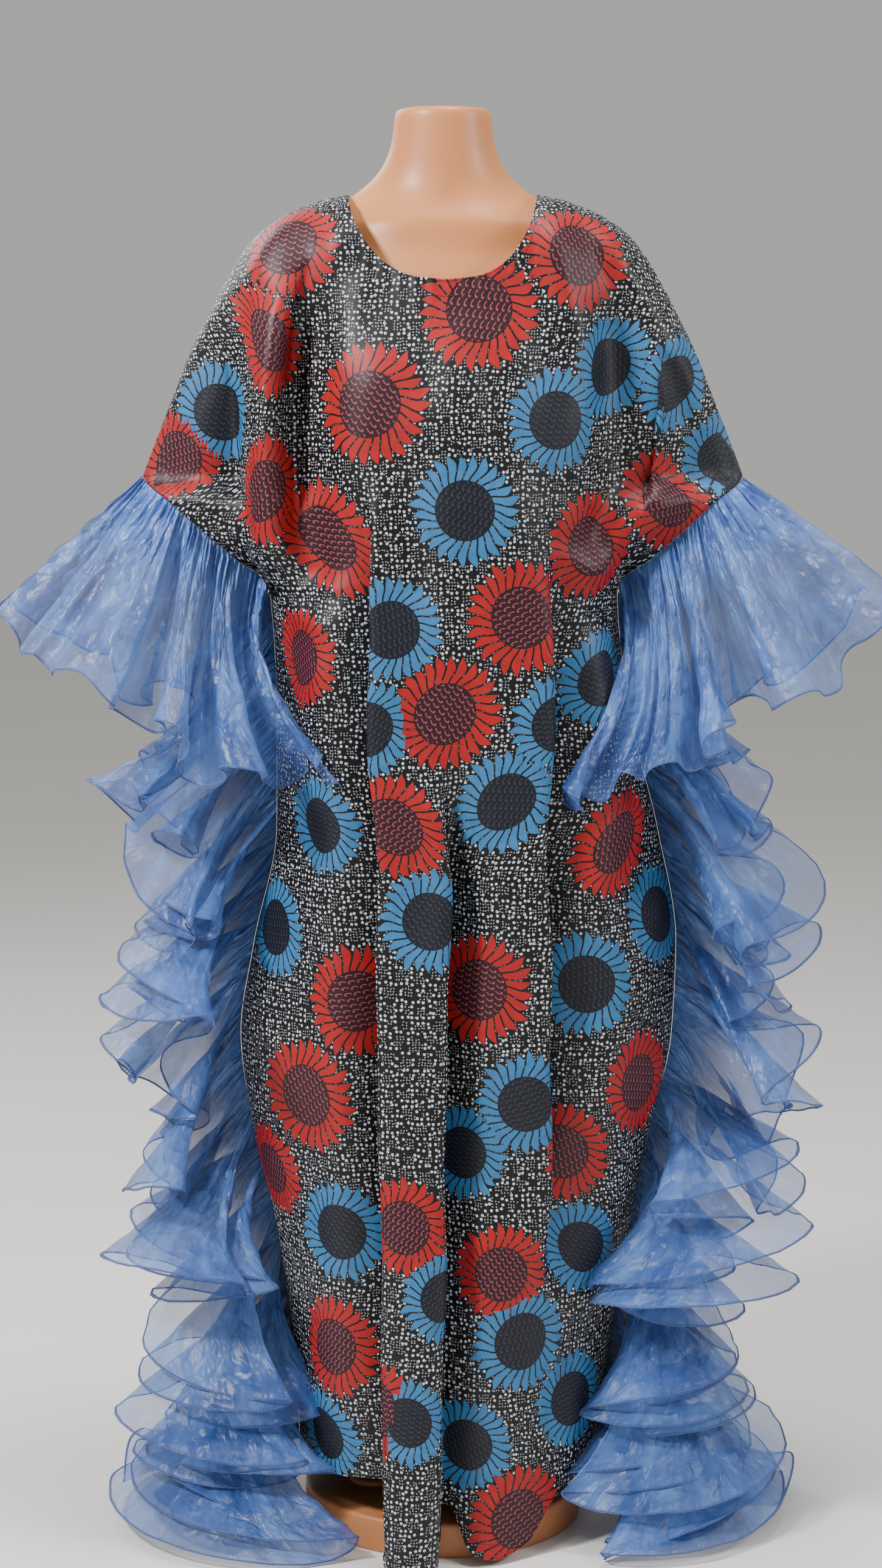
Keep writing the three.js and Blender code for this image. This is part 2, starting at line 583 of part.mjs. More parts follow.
// A strip gathered on to half of a sleeve's mouth: its front (face 1) or its back (face -1).
function mouthRuffle(edge, side, face) {
  const names = ['turn', 'curl', 'fall', 'deep', 'wave'];
  const [turn, curl, fall, deep, height] = names.map((k) => reader(MOUTH, 'at', k));
  const count = Math.round(MOUTH_WAVES * MOUTH_STEPS);
  const seam = new THREE.Vector3(-side * MOUTH_RUN, 0, UNDERARM - SLEEVE_HEM).normalize();
  const away = new THREE.Vector3(-side * seam.z, 0, side * seam.x);
  const points = [];
  for (let i = 0; i <= count; i += 1) {
    const at = mix(MOUTH_FROM, MOUTH_TO, i / count);
    const way = { turn: face * turn(at), curl: face * curl(at), fall: fall(at) };
    const start = edgeAt(edge, mix(SLEEVE_HEM, UNDERARM, at));
    start.addScaledVector(away, MOUTH_GAP);
    start.y = -face * Math.max(Math.abs(start.y), ORGANZA / 2 + SEAM_GAP);
    const swing = Math.sin(2 * Math.PI * MOUTH_WAVES * at + (face < 0 ? START_BACK : START_FRONT));
    const path = thread(start, side, deep(at), way, ACROSS);
    const heading = path[ACROSS.length - 1].clone().sub(path[0]).normalize();
    const lift = new THREE.Vector3().crossVectors(seam, heading).normalize();
    if (lift.y * face > 0) lift.negate();
    path.forEach((point, j) => {
      const grow = ACROSS[j] ** WAVE_GROWTH;
      point.addScaledVector(lift, height(at) * grow * (WAVE_REST + swing));
      point.z += EDGE_RIPPLE * grow * Math.sin(4 * Math.PI * MOUTH_WAVES * at);
      points.push(point);
    });
  }
  return { points, width: ACROSS.length };
}

// ---- dress form ---------------------------------------------------------------------------------
function formSections() {
  const shoulder = FORM_SHOULDER.map((half) => {
    const outward = clamp01((half - SHOULDER.inner) / (SHOULDER.outer - SHOULDER.inner));
    const z = armLine(half) - COTTON - FORM_SEAT - SHOULDER_EASE * ease(outward);
    const depth = mix(SHOULDER.innerDepth, SHOULDER.outerDepth, outward);
    const power = mix(SHOULDER.innerPower, SHOULDER.outerPower, outward);
    return { z, half, front: depth, back: depth, power };
  });
  return [...FORM, ...shoulder, ...FORM_NECK];
}

// Rings stacked one on another, closed flat at both ends. A ring's power makes it rounder or squarer.
function stack(sections, sides) {
  const points = [];
  sections.forEach(({ z, half, front, back, power = FORM_POWER }) => {
    for (let i = 0; i < sides; i += 1) {
      const turn = (2 * Math.PI * i) / sides;
      const [c, s] = [Math.cos(turn), Math.sin(turn)];
      const x = half * Math.sign(c) * Math.abs(c) ** (2 / power);
      const y = (s < 0 ? front : back) * Math.sign(s) * Math.abs(s) ** (2 / power);
      points.push(new THREE.Vector3(x, y, z));
    }
  });
  const triangles = [];
  for (let j = 0; j < sections.length - 1; j += 1) {
    for (let i = 0; i < sides; i += 1) {
      const [a, b] = [j * sides + i, j * sides + ((i + 1) % sides)];
      triangles.push([a, b, b + sides], [a, b + sides, a + sides]);
    }
  }
  const last = (sections.length - 1) * sides;
  for (let i = 1; i < sides - 1; i += 1) {
    triangles.push([0, i + 1, i], [last, last + i, last + i + 1]);
  }
  return solid(points, triangles);
}

// The base: a low turned disc with one rounded boss moulded on its top.
function base() {
  const profile = [
    [0, 0],
    [BASE_RADIUS - BASE_FOOT, 0],
    [BASE_RADIUS, BASE_FOOT],
    [BASE_RADIUS, BASE_HEIGHT - BASE_RIM],
    [BASE_RADIUS - BASE_RIM * 0.3, BASE_HEIGHT - BASE_RIM * 0.3],
    [BASE_RADIUS - BASE_RIM, BASE_HEIGHT],
    [BASE_RADIUS * 0.66, BASE_HEIGHT + BASE_DOME * 0.5],
    [BASE_RADIUS * 0.3, BASE_HEIGHT + BASE_DOME * 0.92],
    [0, BASE_HEIGHT + BASE_DOME],
  ].map(([r, z]) => new THREE.Vector2(r, z));
  const turned = new THREE.LatheGeometry(profile, BASE_SIDES).rotateX(Math.PI / 2);

  const outline = new THREE.Shape();
  outline.absarc(0, BOSS.back, BOSS.half - BOSS.edge, 0, Math.PI);
  outline.absarc(0, BOSS.front + BOSS.half, BOSS.half - BOSS.edge, Math.PI, 2 * Math.PI);
  const boss = new THREE.ExtrudeGeometry(outline, {
    depth: BASE_HEIGHT + BOSS.height - BOSS.root - BOSS.edge,
    bevelThickness: BOSS.edge,
    bevelSize: BOSS.edge,
    bevelSegments: 2,
    curveSegments: 8,
  });
  boss.translate(BOSS.x, 0, BOSS.root);
  const whole = asManifold(turned).add(asManifold(boss));
  const { vertProperties, triVerts } = whole.getMesh();
  const geometry = new THREE.BufferGeometry();
  geometry.setAttribute('position', new THREE.BufferAttribute(Float32Array.from(vertProperties), 3));
  geometry.setIndex([...triVerts]);
  geometry.computeVertexNormals();
  return geometry;
}

function asManifold(source) {
  const bare = source.clone();
  bare.deleteAttribute('normal');
  bare.deleteAttribute('uv');
  const merged = mergeVertices(bare, 1e-3);
  return new wasm.Manifold(new wasm.Mesh({
    numProp: 3,
    vertProperties: Float32Array.from(merged.attributes.position.array),
    triVerts: Uint32Array.from(merged.index.array),
  }));
}

// ---- the part -----------------------------------------------------------------------------------
const CLOSE_FRONT = [-1.9, -1.15, -0.55, 0, 0.55, 1.15, 1.9]; // columns at a fold, in its half widths
const CLOSE_BACK = [-1.7, -0.85, 0, 0.85, 1.7];
const frontShape = panelShape('front', FOLDS_FRONT, PIPES_FRONT, HEM_FRONT, CLOSE_FRONT);
const backShape = panelShape('back', FOLDS_BACK, PIPES_BACK, HEM_BACK, CLOSE_BACK);
const frontSheet = panelSheet(frontShape, FRONT_ROWS);
const backSheet = panelSheet(backShape, BACK_ROWS);

const column = (sheet, i) => sheet.points.filter((_, index) => index % sheet.width === i);
const group = new THREE.Group();
group.add(piece('gown_front', thicken(frontSheet, COTTON), cotton));
group.add(piece('gown_back', thicken(backSheet, COTTON, { flip: true }), cotton));

for (const [name, side, rows] of [['right', -1, SIDE_RIGHT], ['left', 1, SIDE_LEFT]]) {
  const frontEdge = column(frontSheet, side < 0 ? 0 : frontSheet.width - 1);
  const backEdge = column(backSheet, side < 0 ? 0 : backSheet.width - 1);
  const hanging = sideRuffle([frontEdge, backEdge], rows, side);
  const fore = mouthRuffle(frontEdge, side, 1);
  const aft = mouthRuffle(backEdge, side, -1);
  group.add(piece(`side_ruffle_${name}`, thicken(hanging, ORGANZA, { centred: true }), organza));
  group.add(piece(`sleeve_ruffle_front_${name}`, thicken(fore, ORGANZA, { centred: true }), organza));
  group.add(piece(`sleeve_ruffle_back_${name}`, thicken(aft, ORGANZA, { centred: true }), organza));
}

group.add(piece('form_torso', stack(formSections(), FORM_SIDES), plastic));
const postBottom = BASE_HEIGHT + BASE_DOME + SEAM_GAP;
const postLength = FORM[0].z - SEAM_GAP - postBottom;
const post = new THREE.CylinderGeometry(POST_RADIUS, POST_RADIUS, postLength, POST_SIDES);
post.rotateX(Math.PI / 2);
post.translate(0, 0, postBottom + postLength / 2);
group.add(piece('form_post', post, steel));
group.add(piece('form_base', base(), plastic));

export default group;
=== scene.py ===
# %% [markdown]
# # A printed boubou gown with organza ruffles, on a dress form
#
# A boubou is cut very simply: a wide front and a wide back, joined along the shoulders and down the
# sides, with the sleeves grown on. What makes it look rich is how the cloth hangs. The flat solids of
# the frame already carry the large folds, so this lesson dresses them: finer cloth with small creases,
# a wax print that runs with the cloth, gathered organza with overlocked edges, and a moulded form.
#
# We work in millimetres in the tables, as a maker does, and turn them into metres only when a mesh is
# made. The first cell loads the frame and keeps only its meshes, each with its place applied.

# %% Load the frame
import math
import bmesh
import bpy
import numpy as np
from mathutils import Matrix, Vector


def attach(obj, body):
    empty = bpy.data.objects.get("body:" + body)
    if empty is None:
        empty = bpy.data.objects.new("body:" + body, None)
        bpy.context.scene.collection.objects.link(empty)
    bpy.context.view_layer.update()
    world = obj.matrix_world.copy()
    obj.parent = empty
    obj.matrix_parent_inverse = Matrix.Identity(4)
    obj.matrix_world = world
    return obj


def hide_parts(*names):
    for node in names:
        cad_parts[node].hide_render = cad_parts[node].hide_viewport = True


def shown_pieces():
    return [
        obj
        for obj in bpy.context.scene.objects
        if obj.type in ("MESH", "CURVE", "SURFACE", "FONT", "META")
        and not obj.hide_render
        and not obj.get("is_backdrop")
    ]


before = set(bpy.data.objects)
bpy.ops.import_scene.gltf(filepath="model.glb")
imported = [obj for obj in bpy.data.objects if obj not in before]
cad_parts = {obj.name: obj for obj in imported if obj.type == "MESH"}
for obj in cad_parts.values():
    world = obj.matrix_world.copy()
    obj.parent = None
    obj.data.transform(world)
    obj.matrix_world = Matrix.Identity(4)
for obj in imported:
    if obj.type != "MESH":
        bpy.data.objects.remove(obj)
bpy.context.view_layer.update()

# %% [markdown]
# ## Reading a pattern table
#
# A pattern maker writes sizes down at a few heights and draws a fair curve through them. `reader` does
# the same: it takes the rows of a table and gives a smooth function. A plain spline would overshoot
# between rows, which shows on cloth as a bulge nobody asked for, so the slope at each row is the
# harmonic mean of its two neighbours, and zero where the table turns.

# %% Curves and small helpers
MM = 0.001
TINY = 1e-6  # keeps a division away from zero


def table(heading, *rows):
    names = heading.split()
    return [dict(zip(names, row)) for row in rows]


def reader(rows, key, out):
    rows = sorted(rows, key=lambda row: row[key])
    xs = np.array([row[key] for row in rows], float)
    ys = np.array([row[out] for row in rows], float)
    steps = np.diff(ys) / np.diff(xs)
    slopes = np.empty_like(ys)
    slopes[0], slopes[-1] = steps[0], steps[-1]
    before, after = steps[:-1], steps[1:]
    total = np.where(np.abs(before + after) < TINY**2, 1.0, before + after)
    slopes[1:-1] = np.where(before * after <= 0, 0.0, 2 * before * after / total)

    def read(at):
        x = np.clip(np.asarray(at, float), xs[0], xs[-1])
        i = np.clip(np.searchsorted(xs, x, side="left") - 1, 0, len(xs) - 2)
        span = xs[i + 1] - xs[i]
        t = (x - xs[i]) / span
        t2, t3 = t * t, t * t * t
        return (
            (2 * t3 - 3 * t2 + 1) * ys[i]
            + (t3 - 2 * t2 + t) * span * slopes[i]
            + (3 * t2 - 2 * t3) * ys[i + 1]
            + (t3 - t2) * span * slopes[i + 1]
        )

    return read


def clamp01(t):
    return np.clip(t, 0.0, 1.0)


def ease(t):
    return clamp01(t) ** 2 * (3 - 2 * clamp01(t))


def mix(a, b, t):
    return a + (b - a) * t


def unit(arrows):
    """The same arrows, each one long."""
    return arrows / np.maximum(np.linalg.norm(arrows, axis=-1, keepdims=True), TINY)


def put(name, data):
    """A new object in the scene, at the origin."""
    piece = bpy.data.objects.new(name, data)
    bpy.context.scene.collection.objects.link(piece)
    return piece


def smooth(mesh):
    mesh.polygons.foreach_set("use_smooth", np.ones(len(mesh.polygons), bool))


print("one millimetre is", MM, "of the frame's units")


# %% [markdown]
# ## The gown's measurements
#
# These are the same sizes that the solids were built from: the shoulder and arm line, the neckline,
# the width of the gown at each height, and the hem. Keeping one set of numbers is what lets the fine
# cloth lie exactly where the solid cloth is.

# %% Tables of the gown
SEAM_GAP = 0.3  # between the front and the back where they are sewn together
NECK_HALF_WIDTH = 99.5
SLEEVE_HEM, UNDERARM = 1148, 1030  # heights of the two ends of a sleeve's mouth
SHOULDER_ROUND = 60  # the cloth rounds over the shoulder within this height
HEM_LEVEL = 60
ROUNDNESS = 4  # how squarely the body's depth and the sleeve's depth run into each other

ARM_LINE = table(
    "x z",
    (0, 1452), (70, 1447), (99.5, 1442), (128, 1436), (166, 1421), (192, 1404), (210, 1384),
    (230, 1352), (250, 1315), (270, 1274), (290, 1224), (305, 1187), (320, SLEEVE_HEM),
)
NECKLINE = table(
    "x front back",
    (0, 1350, 1416), (35, 1354, 1418), (62, 1367, 1423), (82, 1389, 1429), (94, 1416, 1435),
    (99.5, 1442, 1442),
)
GOWN = table(
    "z right left trunk front back wing mouth",
    (0, -158, 170, 160, 182, 184, 0, 0),
    (100, -160, 176, 165, 176, 180, 0, 0),
    (200, -168, 187, 176, 167, 170, 0, 0),
    (330, -184, 208, 196, 156, 158, 0, 0),
    (430, -207, 226, 216, 146, 150, 0, 0),
    (540, -221, 250, 235, 145, 146, 0, 0),
    (640, -206, 254, 230, 144, 142, 0, 0),
    (770, -180, 232, 206, 142, 138, 0, 0),
    (900, -179, 200, 190, 140, 132, 4, 0),
    (UNDERARM, -186, 187, 192, 138, 124, 12, 0),
    (1060, -220, 221, 200, 137, 122, 18, 30),
    (1090, -254, 254, 206, 136, 120, 22, 40),
    (1120, -288, 287, 212, 136, 118, 24, 34),
    (SLEEVE_HEM, -320, 320, 216, 135, 116, 26, 0),
    (1200, -320, 320, 220, 133, 113, 34, 0),
    (1250, -320, 320, 222, 127, 110, 42, 0),
    (1350, -320, 320, 226, 104, 104, 52, 0),
    (1460, -320, 320, 230, 88, 88, 60, 0),
)
HEM = {
    "front": table(
        "x z",
        (-150, 66), (-115, 84), (-62, 88), (-48, 9), (-12, 6), (0, 56), (20, 64), (34, 14),
        (56, 7), (90, 18), (120, 60), (166, 66),
    ),
    "back": table(
        "x z", (-150, 66), (-100, 60), (-50, 24), (0, 16), (60, 24), (110, 60), (166, 66)
    ),
}
arm_line = reader(ARM_LINE, "x", "z")
necks = {side: reader(NECKLINE, "x", side) for side in ("front", "back")}
gown = {name: reader(GOWN, "z", name) for name in "right left trunk front back wing mouth".split()}
print("gown tables read:", len(GOWN), "heights from hem to shoulder")

# %% [markdown]
# ## Folds, pipes and creases
#
# Hanging cloth shows three sizes of form. Overlapping **folds** swallow cloth: the crest lies over the
# trough, so the print disappears into them. **Pipes** are the soft round columns between the folds.
# ** Creases** are short and shallow: they pull from the shoulder and the underarm. Simulating a whole
# gown would take minutes and never fall twice the same way, so each one is placed in a table,
# uneven in length, depth and spacing, as hung cloth is.

# %% Tables of folds, pipes and creases
FOLDS = {
    "front": table(
        "over from to deep lap half path",
        (1, 1425, 990, 20, 22, 20, ((1436, -126), (1340, -148), (1200, -166), (1030, -154), (900, -142))),
        (-1, 1180, -400, 21, 17, 17, ((1180, -78), (900, -66), (500, -60), (0, -51))),
        (1, 880, -500, 22, 15, 15, ((880, 6), (500, 2), (250, 0), (0, -3))),
        (1, 1120, 250, 15, 14, 17, ((1120, 112), (800, 106), (250, 112))),
        (-1, 1400, 1010, 14, 9, 19, ((1404, 186), (1300, 201), (1150, 206), (1030, 152), (900, 146))),
    ),
    "back": table(
        "over from to deep lap half path",
        (1, 1415, 1000, 14, 12, 19, ((1430, -140), (1300, -160), (1150, -172), (1030, -160), (900, -142))),
        (-1, 1250, -500, 18, 14, 18, ((1250, -92), (700, -84), (0, -72))),
        (1, 1320, -500, 19, 15, 18, ((1320, -8), (700, -4), (0, 4))),
        (1, 1200, -400, 17, 13, 18, ((1200, 90), (700, 96), (0, 82))),
        (-1, 1400, 1000, 14, 12, 19, ((1410, 178), (1300, 186), (1150, 184), (1030, 164), (900, 154))),
    ),
}
PIPES = {
    "front": table(
        "topZ topX endZ endX half high",
        (1400, -236, 1090, -262, 22, 7), (1330, -60, 860, -116, 24, 7), (1120, -110, 40, -100, 22, 9),
        (1330, 20, 700, -28, 24, 8), (760, -30, -300, -30, 16, 8), (1330, 66, 60, 60, 24, 8),
        (1100, 158, 300, 176, 22, 10), (1390, 240, 1090, 250, 20, 6),
        (1390, -172, 1000, -188, 14, 8), (1360, -118, 1000, -126, 14, -6),
        (1370, 220, 1050, 232, 13, 7), (1350, 170, 1040, 168, 13, -6),
    ),
    "back": table(
        "topZ topX endZ endX half high",
        (1390, -240, 1090, -256, 22, 6), (1340, -50, 0, -40, 24, 9), (1000, -130, 0, -112, 22, 10),
        (1340, 44, 0, 40, 24, 9), (1000, 142, 0, 124, 22, 10), (1390, 236, 1090, 252, 22, 6),
    ),
}
# Short creases from one place in the front view to another; high < 0 is a trough.
CREASES = {
    "front": table(
        "x0 z0 x1 z1 half high",
        (-96, 1432, -150, 1255, 11, 3.4), (-120, 1432, -196, 1300, 9, -3.0), (-150, 1424, -214, 1330, 8, 2.6),
        (-78, 1386, -120, 1190, 13, 2.6), (104, 1434, 150, 1240, 11, 3.2), (128, 1430, 196, 1316, 9, -2.8),
        (84, 1390, 112, 1180, 13, -2.4), (160, 1418, 224, 1300, 8, 2.4), (-205, 1370, -248, 1180, 9, 2.4),
        (-222, 1330, -286, 1170, 8, -2.2), (210, 1368, 252, 1180, 9, -2.4), (228, 1330, 290, 1165, 8, 2.2),
        (-40, 1300, -26, 1150, 15, 2.0), (34, 1310, 70, 1130, 14, -2.0), (-176, 1060, -110, 1150, 10, 2.8),
        (-176, 1042, -92, 1064, 9, -2.4), (-178, 1020, -100, 985, 9, 2.4), (176, 1062, 118, 1160, 10, -2.6),
        (178, 1040, 96, 1080, 9, 2.6), (178, 1016, 110, 960, 9, -2.2), (-150, 930, -92, 780, 11, 2.2),
        (-170, 820, -96, 640, 12, -2.0), (150, 940, 130, 760, 12, 2.2), (196, 800, 150, 600, 12, -2.0),
        (20, 1060, 62, 860, 14, 2.2), (-36, 1080, -18, 900, 12, -2.0), (52, 780, 74, 560, 13, 2.0),
        (-112, 610, -82, 380, 12, 2.2), (40, 470, 88, 260, 12, -2.2), (150, 520, 120, 330, 13, 2.2),
        (-128, 380, -92, 170, 11, -2.0), (98, 300, 76, 110, 11, 2.2), (-34, 420, -24, 200, 8, 1.8),
        (-140, 250, -112, 100, 10, 1.8), (140, 250, 120, 100, 10, -1.8),
    ),
    "back": table(
        "x0 z0 x1 z1 half high",
        (-92, 1430, -130, 1260, 11, 3.2), (-120, 1430, -186, 1310, 9, -2.8), (96, 1430, 128, 1250, 11, 3.0),
        (130, 1426, 190, 1312, 9, -2.6), (-60, 1412, -70, 1240, 14, 2.2), (52, 1412, 70, 1250, 14, -2.2),
        (-205, 1365, -250, 1180, 9, 2.4), (206, 1366, 246, 1184, 9, 2.4), (-226, 1326, -284, 1176, 8, -2.2),
        (228, 1326, 286, 1172, 8, -2.0), (-176, 1050, -112, 1140, 10, 2.6), (176, 1052, 116, 1150, 10, 2.6),
        (-178, 1022, -96, 1000, 9, -2.4), (178, 1020, 104, 990, 9, -2.2), (-36, 1120, -52, 900, 14, 2.2),
        (40, 1100, 56, 880, 14, -2.0), (-140, 880, -112, 700, 12, 2.2), (150, 860, 122, 660, 12, 2.2),
        (-44, 760, -34, 520, 13, -2.0), (36, 700, 52, 480, 13, 2.2), (-130, 560, -106, 340, 12, -2.0),
        (132, 540, 112, 330, 12, -2.0), (-40, 420, -34, 180, 11, 2.0), (46, 380, 40, 150, 11, 2.0),
        (-116, 280, -100, 110, 10, 1.8), (118, 270, 100, 100, 10, 1.8),
    ),
}
CLOSE = {"front": (-1.9, -1.15, -0.55, 0, 0.55, 1.15, 1.9), "back": (-1.7, -0.85, 0, 0.85, 1.7)}
print("creases:", {side: len(rows) for side, rows in CREASES.items()})

# %% [markdown]
# ## One panel of the gown
#
# A panel is a grid of points. Each column of the grid is a thread of the cloth that runs from the
# shoulder down to the hem, and it keeps to the same side of every fold all the way. `place` says where
# a point of the flat front view goes: first out to the gown's depth, then along and away from the
# surface as the folds, pipes and creases ask. Columns stand closer together at the folds, because that
# is where the cloth turns over itself and where coarse faces would show.

# %% Place a point of the cloth
EDGE_CALM = 40  # folds and pipes die out this close to a seam
SLOPE_STEP = 8  # the slope is read this far to each side
FOLD_FADE = 170  # a fold grows and dies over this height
PIPE_FADE = 0.2  # a pipe does so over this share of its length
CREASE_START, CREASE_END = 0.3, 0.45  # and a crease over these
CREASE_EDGE, CREASE_TOP = 16, 24  # creases come this close to the seams and the shoulder line
PIPE_SHARE, RIDGE_SHARE, TROUGH_SHARE = 1.45, 1.9, 1.5  # how much fuller the fine cloth hangs
PUCKER_HIGH, PUCKER_WAVE = 1.1, 17.0  # small gathers where the neck is turned
PUCKER_DROP, PUCKER_HALF = 18, 92  # how far they reach down and to each side
rng = np.random.default_rng(7)
UNEVEN = [
    (rng.uniform(0.02, 0.085), rng.uniform(0.006, 0.04), rng.uniform(0, 6.28), rng.uniform(0.3, 0.85))
    for _ in range(14)
]
SWAY = [
    (rng.uniform(0.004, 0.02), rng.uniform(0.012, 0.034), rng.uniform(0, 6.28), rng.uniform(0.8, 2.0))
    for _ in range(6)
]


def depth_at(x, z, side):
    below = arm_line(np.abs(x)) - z
    rounding = np.sqrt(1 - (1 - clamp01(below / SHOULDER_ROUND)) ** 2)
    edge = np.abs(np.where(x < 0, gown["right"](z), gown["left"](z)))
    trunk_half = np.where(z < UNDERARM, edge, gown["trunk"](z))
    trunk = gown[side](z) * np.sqrt(np.maximum(0, 1 - (x / trunk_half) ** 2))
    wing = gown["wing"](z) * np.sqrt(np.maximum(0, 1 - (x / edge) ** 2)) + gown["mouth"](z)
    return rounding * (trunk**ROUNDNESS + wing**ROUNDNESS) ** (1 / ROUNDNESS)


def fold_paths(side):
    return [reader(table("z x", *fold["path"]), "z", "x") for fold in FOLDS[side]]


def add_folds(along, away, x, z, side, paths, calm):
    for fold, path in zip(FOLDS[side], paths):
        strength = ease((fold["from"] - z) / FOLD_FADE) * ease((z - fold["to"]) / FOLD_FADE) * calm
        q = (x - path(z)) / fold["half"]
        swell = q * np.exp(0.5 - q * q / 2)
        along -= strength * fold["lap"] * swell
        away -= strength * fold["deep"] * swell * fold["over"]


def add_pipes(away, x, z, side, calm):
    for pipe in PIPES[side]:
        t = (pipe["topZ"] - z) / (pipe["topZ"] - pipe["endZ"])
        q = (x - mix(pipe["topX"], pipe["endX"], t)) / pipe["half"]
        fade = ease(t / PIPE_FADE) * ease((1 - t) / PIPE_FADE)
        away += PIPE_SHARE * calm * pipe["high"] * fade * np.exp(-q * q / 2)


def add_puckers(away, x, z):
    drop = np.maximum(necks["front"](np.abs(x)) - z, 0)
    gathers = np.sin(2 * math.pi * x / PUCKER_WAVE) * np.exp(-drop / PUCKER_DROP)
    away += PUCKER_HIGH * gathers * (np.abs(x) < PUCKER_HALF)


def add_creases(away, x, z, side, soft):
    for crease in CREASES[side]:
        dx, dz = crease["x1"] - crease["x0"], crease["z1"] - crease["z0"]
        span = math.hypot(dx, dz)
        t = ((x - crease["x0"]) * dx + (z - crease["z0"]) * dz) / span**2
        q = ((x - crease["x0"]) * dz - (z - crease["z0"]) * dx) / span / crease["half"]
        high = crease["high"] * (RIDGE_SHARE if crease["high"] > 0 else TROUGH_SHARE)
        fade = ease(t / CREASE_START) * ease((1 - t) / CREASE_END)
        away += soft * high * fade * np.exp(-q * q / 2)


def place(x, z, side, paths):
    """Where a point of the flat front view hangs: its x, y and z in millimetres."""
    y = depth_at(x, z, side)
    ahead, behind = depth_at(x + SLOPE_STEP, z, side), depth_at(x - SLOPE_STEP, z, side)
    slope = (ahead - behind) / (2 * SLOPE_STEP)
    length = np.hypot(1, slope)
    below = arm_line(np.abs(x)) - z
    near_edge = np.minimum(x - gown["right"](z), gown["left"](z) - x)
    calm = ease(near_edge / EDGE_CALM) * ease(below / SHOULDER_ROUND)
    soft = ease(near_edge / CREASE_EDGE) * ease(below / CREASE_TOP)
    along, away = np.zeros_like(x), np.zeros_like(x)
    add_folds(along, away, x, z, side, paths, calm)
    add_pipes(away, x, z, side, calm)
    if side == "front":
        add_puckers(away, x, z)
    add_creases(away, x, z, side, soft)
    for across, down, phase, high in UNEVEN:
        away += soft * high * np.sin(across * x + phase) * np.sin(down * z + phase * 1.7)
    for across, down, phase, high in SWAY:
        along += calm * high * np.sin(across * x + down * z + phase)
    px = x + (along - away * slope) / length
    py = y + (along * slope + away) / length
    out = -1 if side == "front" else 1
    return np.stack([px, out * np.maximum(py, SEAM_GAP / 2), z], axis=-1)


print("terms of unevenness:", len(UNEVEN), "and of sway:", len(SWAY))

# %% [markdown]
# ## Spacing the columns and the rows
#
# The grid needs a plan. A column of the plan stays at one share of a fold, or at one share of the way
# between two folds, so it follows the fold's path as it wanders down. Fine columns are then set evenly
# between those of the plan. The top rows lie close together, where the cloth rounds over the shoulder,
# and the rows below them share the height that is left, down to the hem.

# %% Plan the columns and hang the panels
CLOTH_STEP = 4.6  # widest spacing of the columns
WING_COLUMNS = 5  # columns of the plan from the seam to the first fold
FOLD_SHARE, EDGE_SHARE = 0.46, 0.5  # the room that one fold's columns take on the way to the next
YOKE, YOKE_ROWS, YOKE_CROWD = 80.0, 16, 1.7  # height, rows and crowding of the shoulder part
BODY_ROWS = 232
HIGHEST, SURVEY_ROWS = 1400, 29  # the columns' spacing is measured up to here
NECK_GUESS, NECK_TRIES = 1350.0, 60  # a column's top is found by drawing nearer from a guess


def panel_columns(side, paths):
    """The x of every fine column, as a function of the column's number and the height."""
    close, folds = CLOSE[side], FOLDS[side]
    plan = []
    for k in range(len(folds)):
        between = WING_COLUMNS if k == 0 else 2
        plan += [(None, k, i / between) for i in range(0 if k == 0 else 1, between)]
        plan += [(k + 1, None, step) for step in close]
    plan += [(None, len(folds), i / WING_COLUMNS) for i in range(1, WING_COLUMNS + 1)]

    def main_x(number, z):
        a = [gown["right"](z), *[path(z) for path in paths], gown["left"](z)]
        last = len(a) - 1

        def reach(k, way):
            if k in (0, last):
                return 0 * z
            share = EDGE_SHARE if k + way in (0, last) else FOLD_SHARE
            room = np.maximum(np.abs(a[k + way] - a[k]), 1) * share
            return np.minimum(close[-1] * folds[k - 1]["half"], room)

        at, between, value = plan[number]
        if at is not None:
            return a[at] + value / close[-1] * reach(at, 1 if value > 0 else -1)
        start, end = a[between] + reach(between, 1), a[between + 1] - reach(between + 1, -1)
        return mix(start, end, value)

    heights = np.linspace(0, HIGHEST, SURVEY_ROWS)
    mains = [main_x(number, heights) for number in range(len(plan))]
    places = [0.0]
    for number in range(len(plan) - 1):
        widest = np.max(mains[number + 1] - mains[number])
        count = max(2, math.ceil(widest / CLOTH_STEP))
        places += [number + (i + 1) / count for i in range(count)]

    def column_x(place_number, z):
        whole = min(int(place_number), len(plan) - 2)
        return mix(main_x(whole, z), main_x(whole + 1, z), place_number - whole)

    return places, column_x


def panel_points(side):
    paths = fold_paths(side)
    neck, hem = necks[side], reader(HEM[side], "x", "z")
    places, column_x = panel_columns(side, paths)
    rows = YOKE_ROWS + BODY_ROWS
    xs, zs = np.empty((rows, len(places))), np.empty((rows, len(places)))
    for i, number in enumerate(places):
        z = np.array([NECK_GUESS])
        for _ in range(NECK_TRIES):
            x = np.abs(column_x(number, z))
            z = mix(z, np.where(x < NECK_HALF_WIDTH, neck(x), arm_line(x)), 0.5)
        low = float(hem(column_x(number, np.array([float(HEM_LEVEL)])))[0])
        yoke = YOKE * np.linspace(0, 1, YOKE_ROWS) ** YOKE_CROWD
        body = mix(z - YOKE, low, np.linspace(0, 1, BODY_ROWS + 1)[1:])
        zs[:, i] = np.concatenate([z - yoke, body])
        xs[:, i] = column_x(number, zs[:, i])
    return xs, zs, place(xs, zs, side, paths)


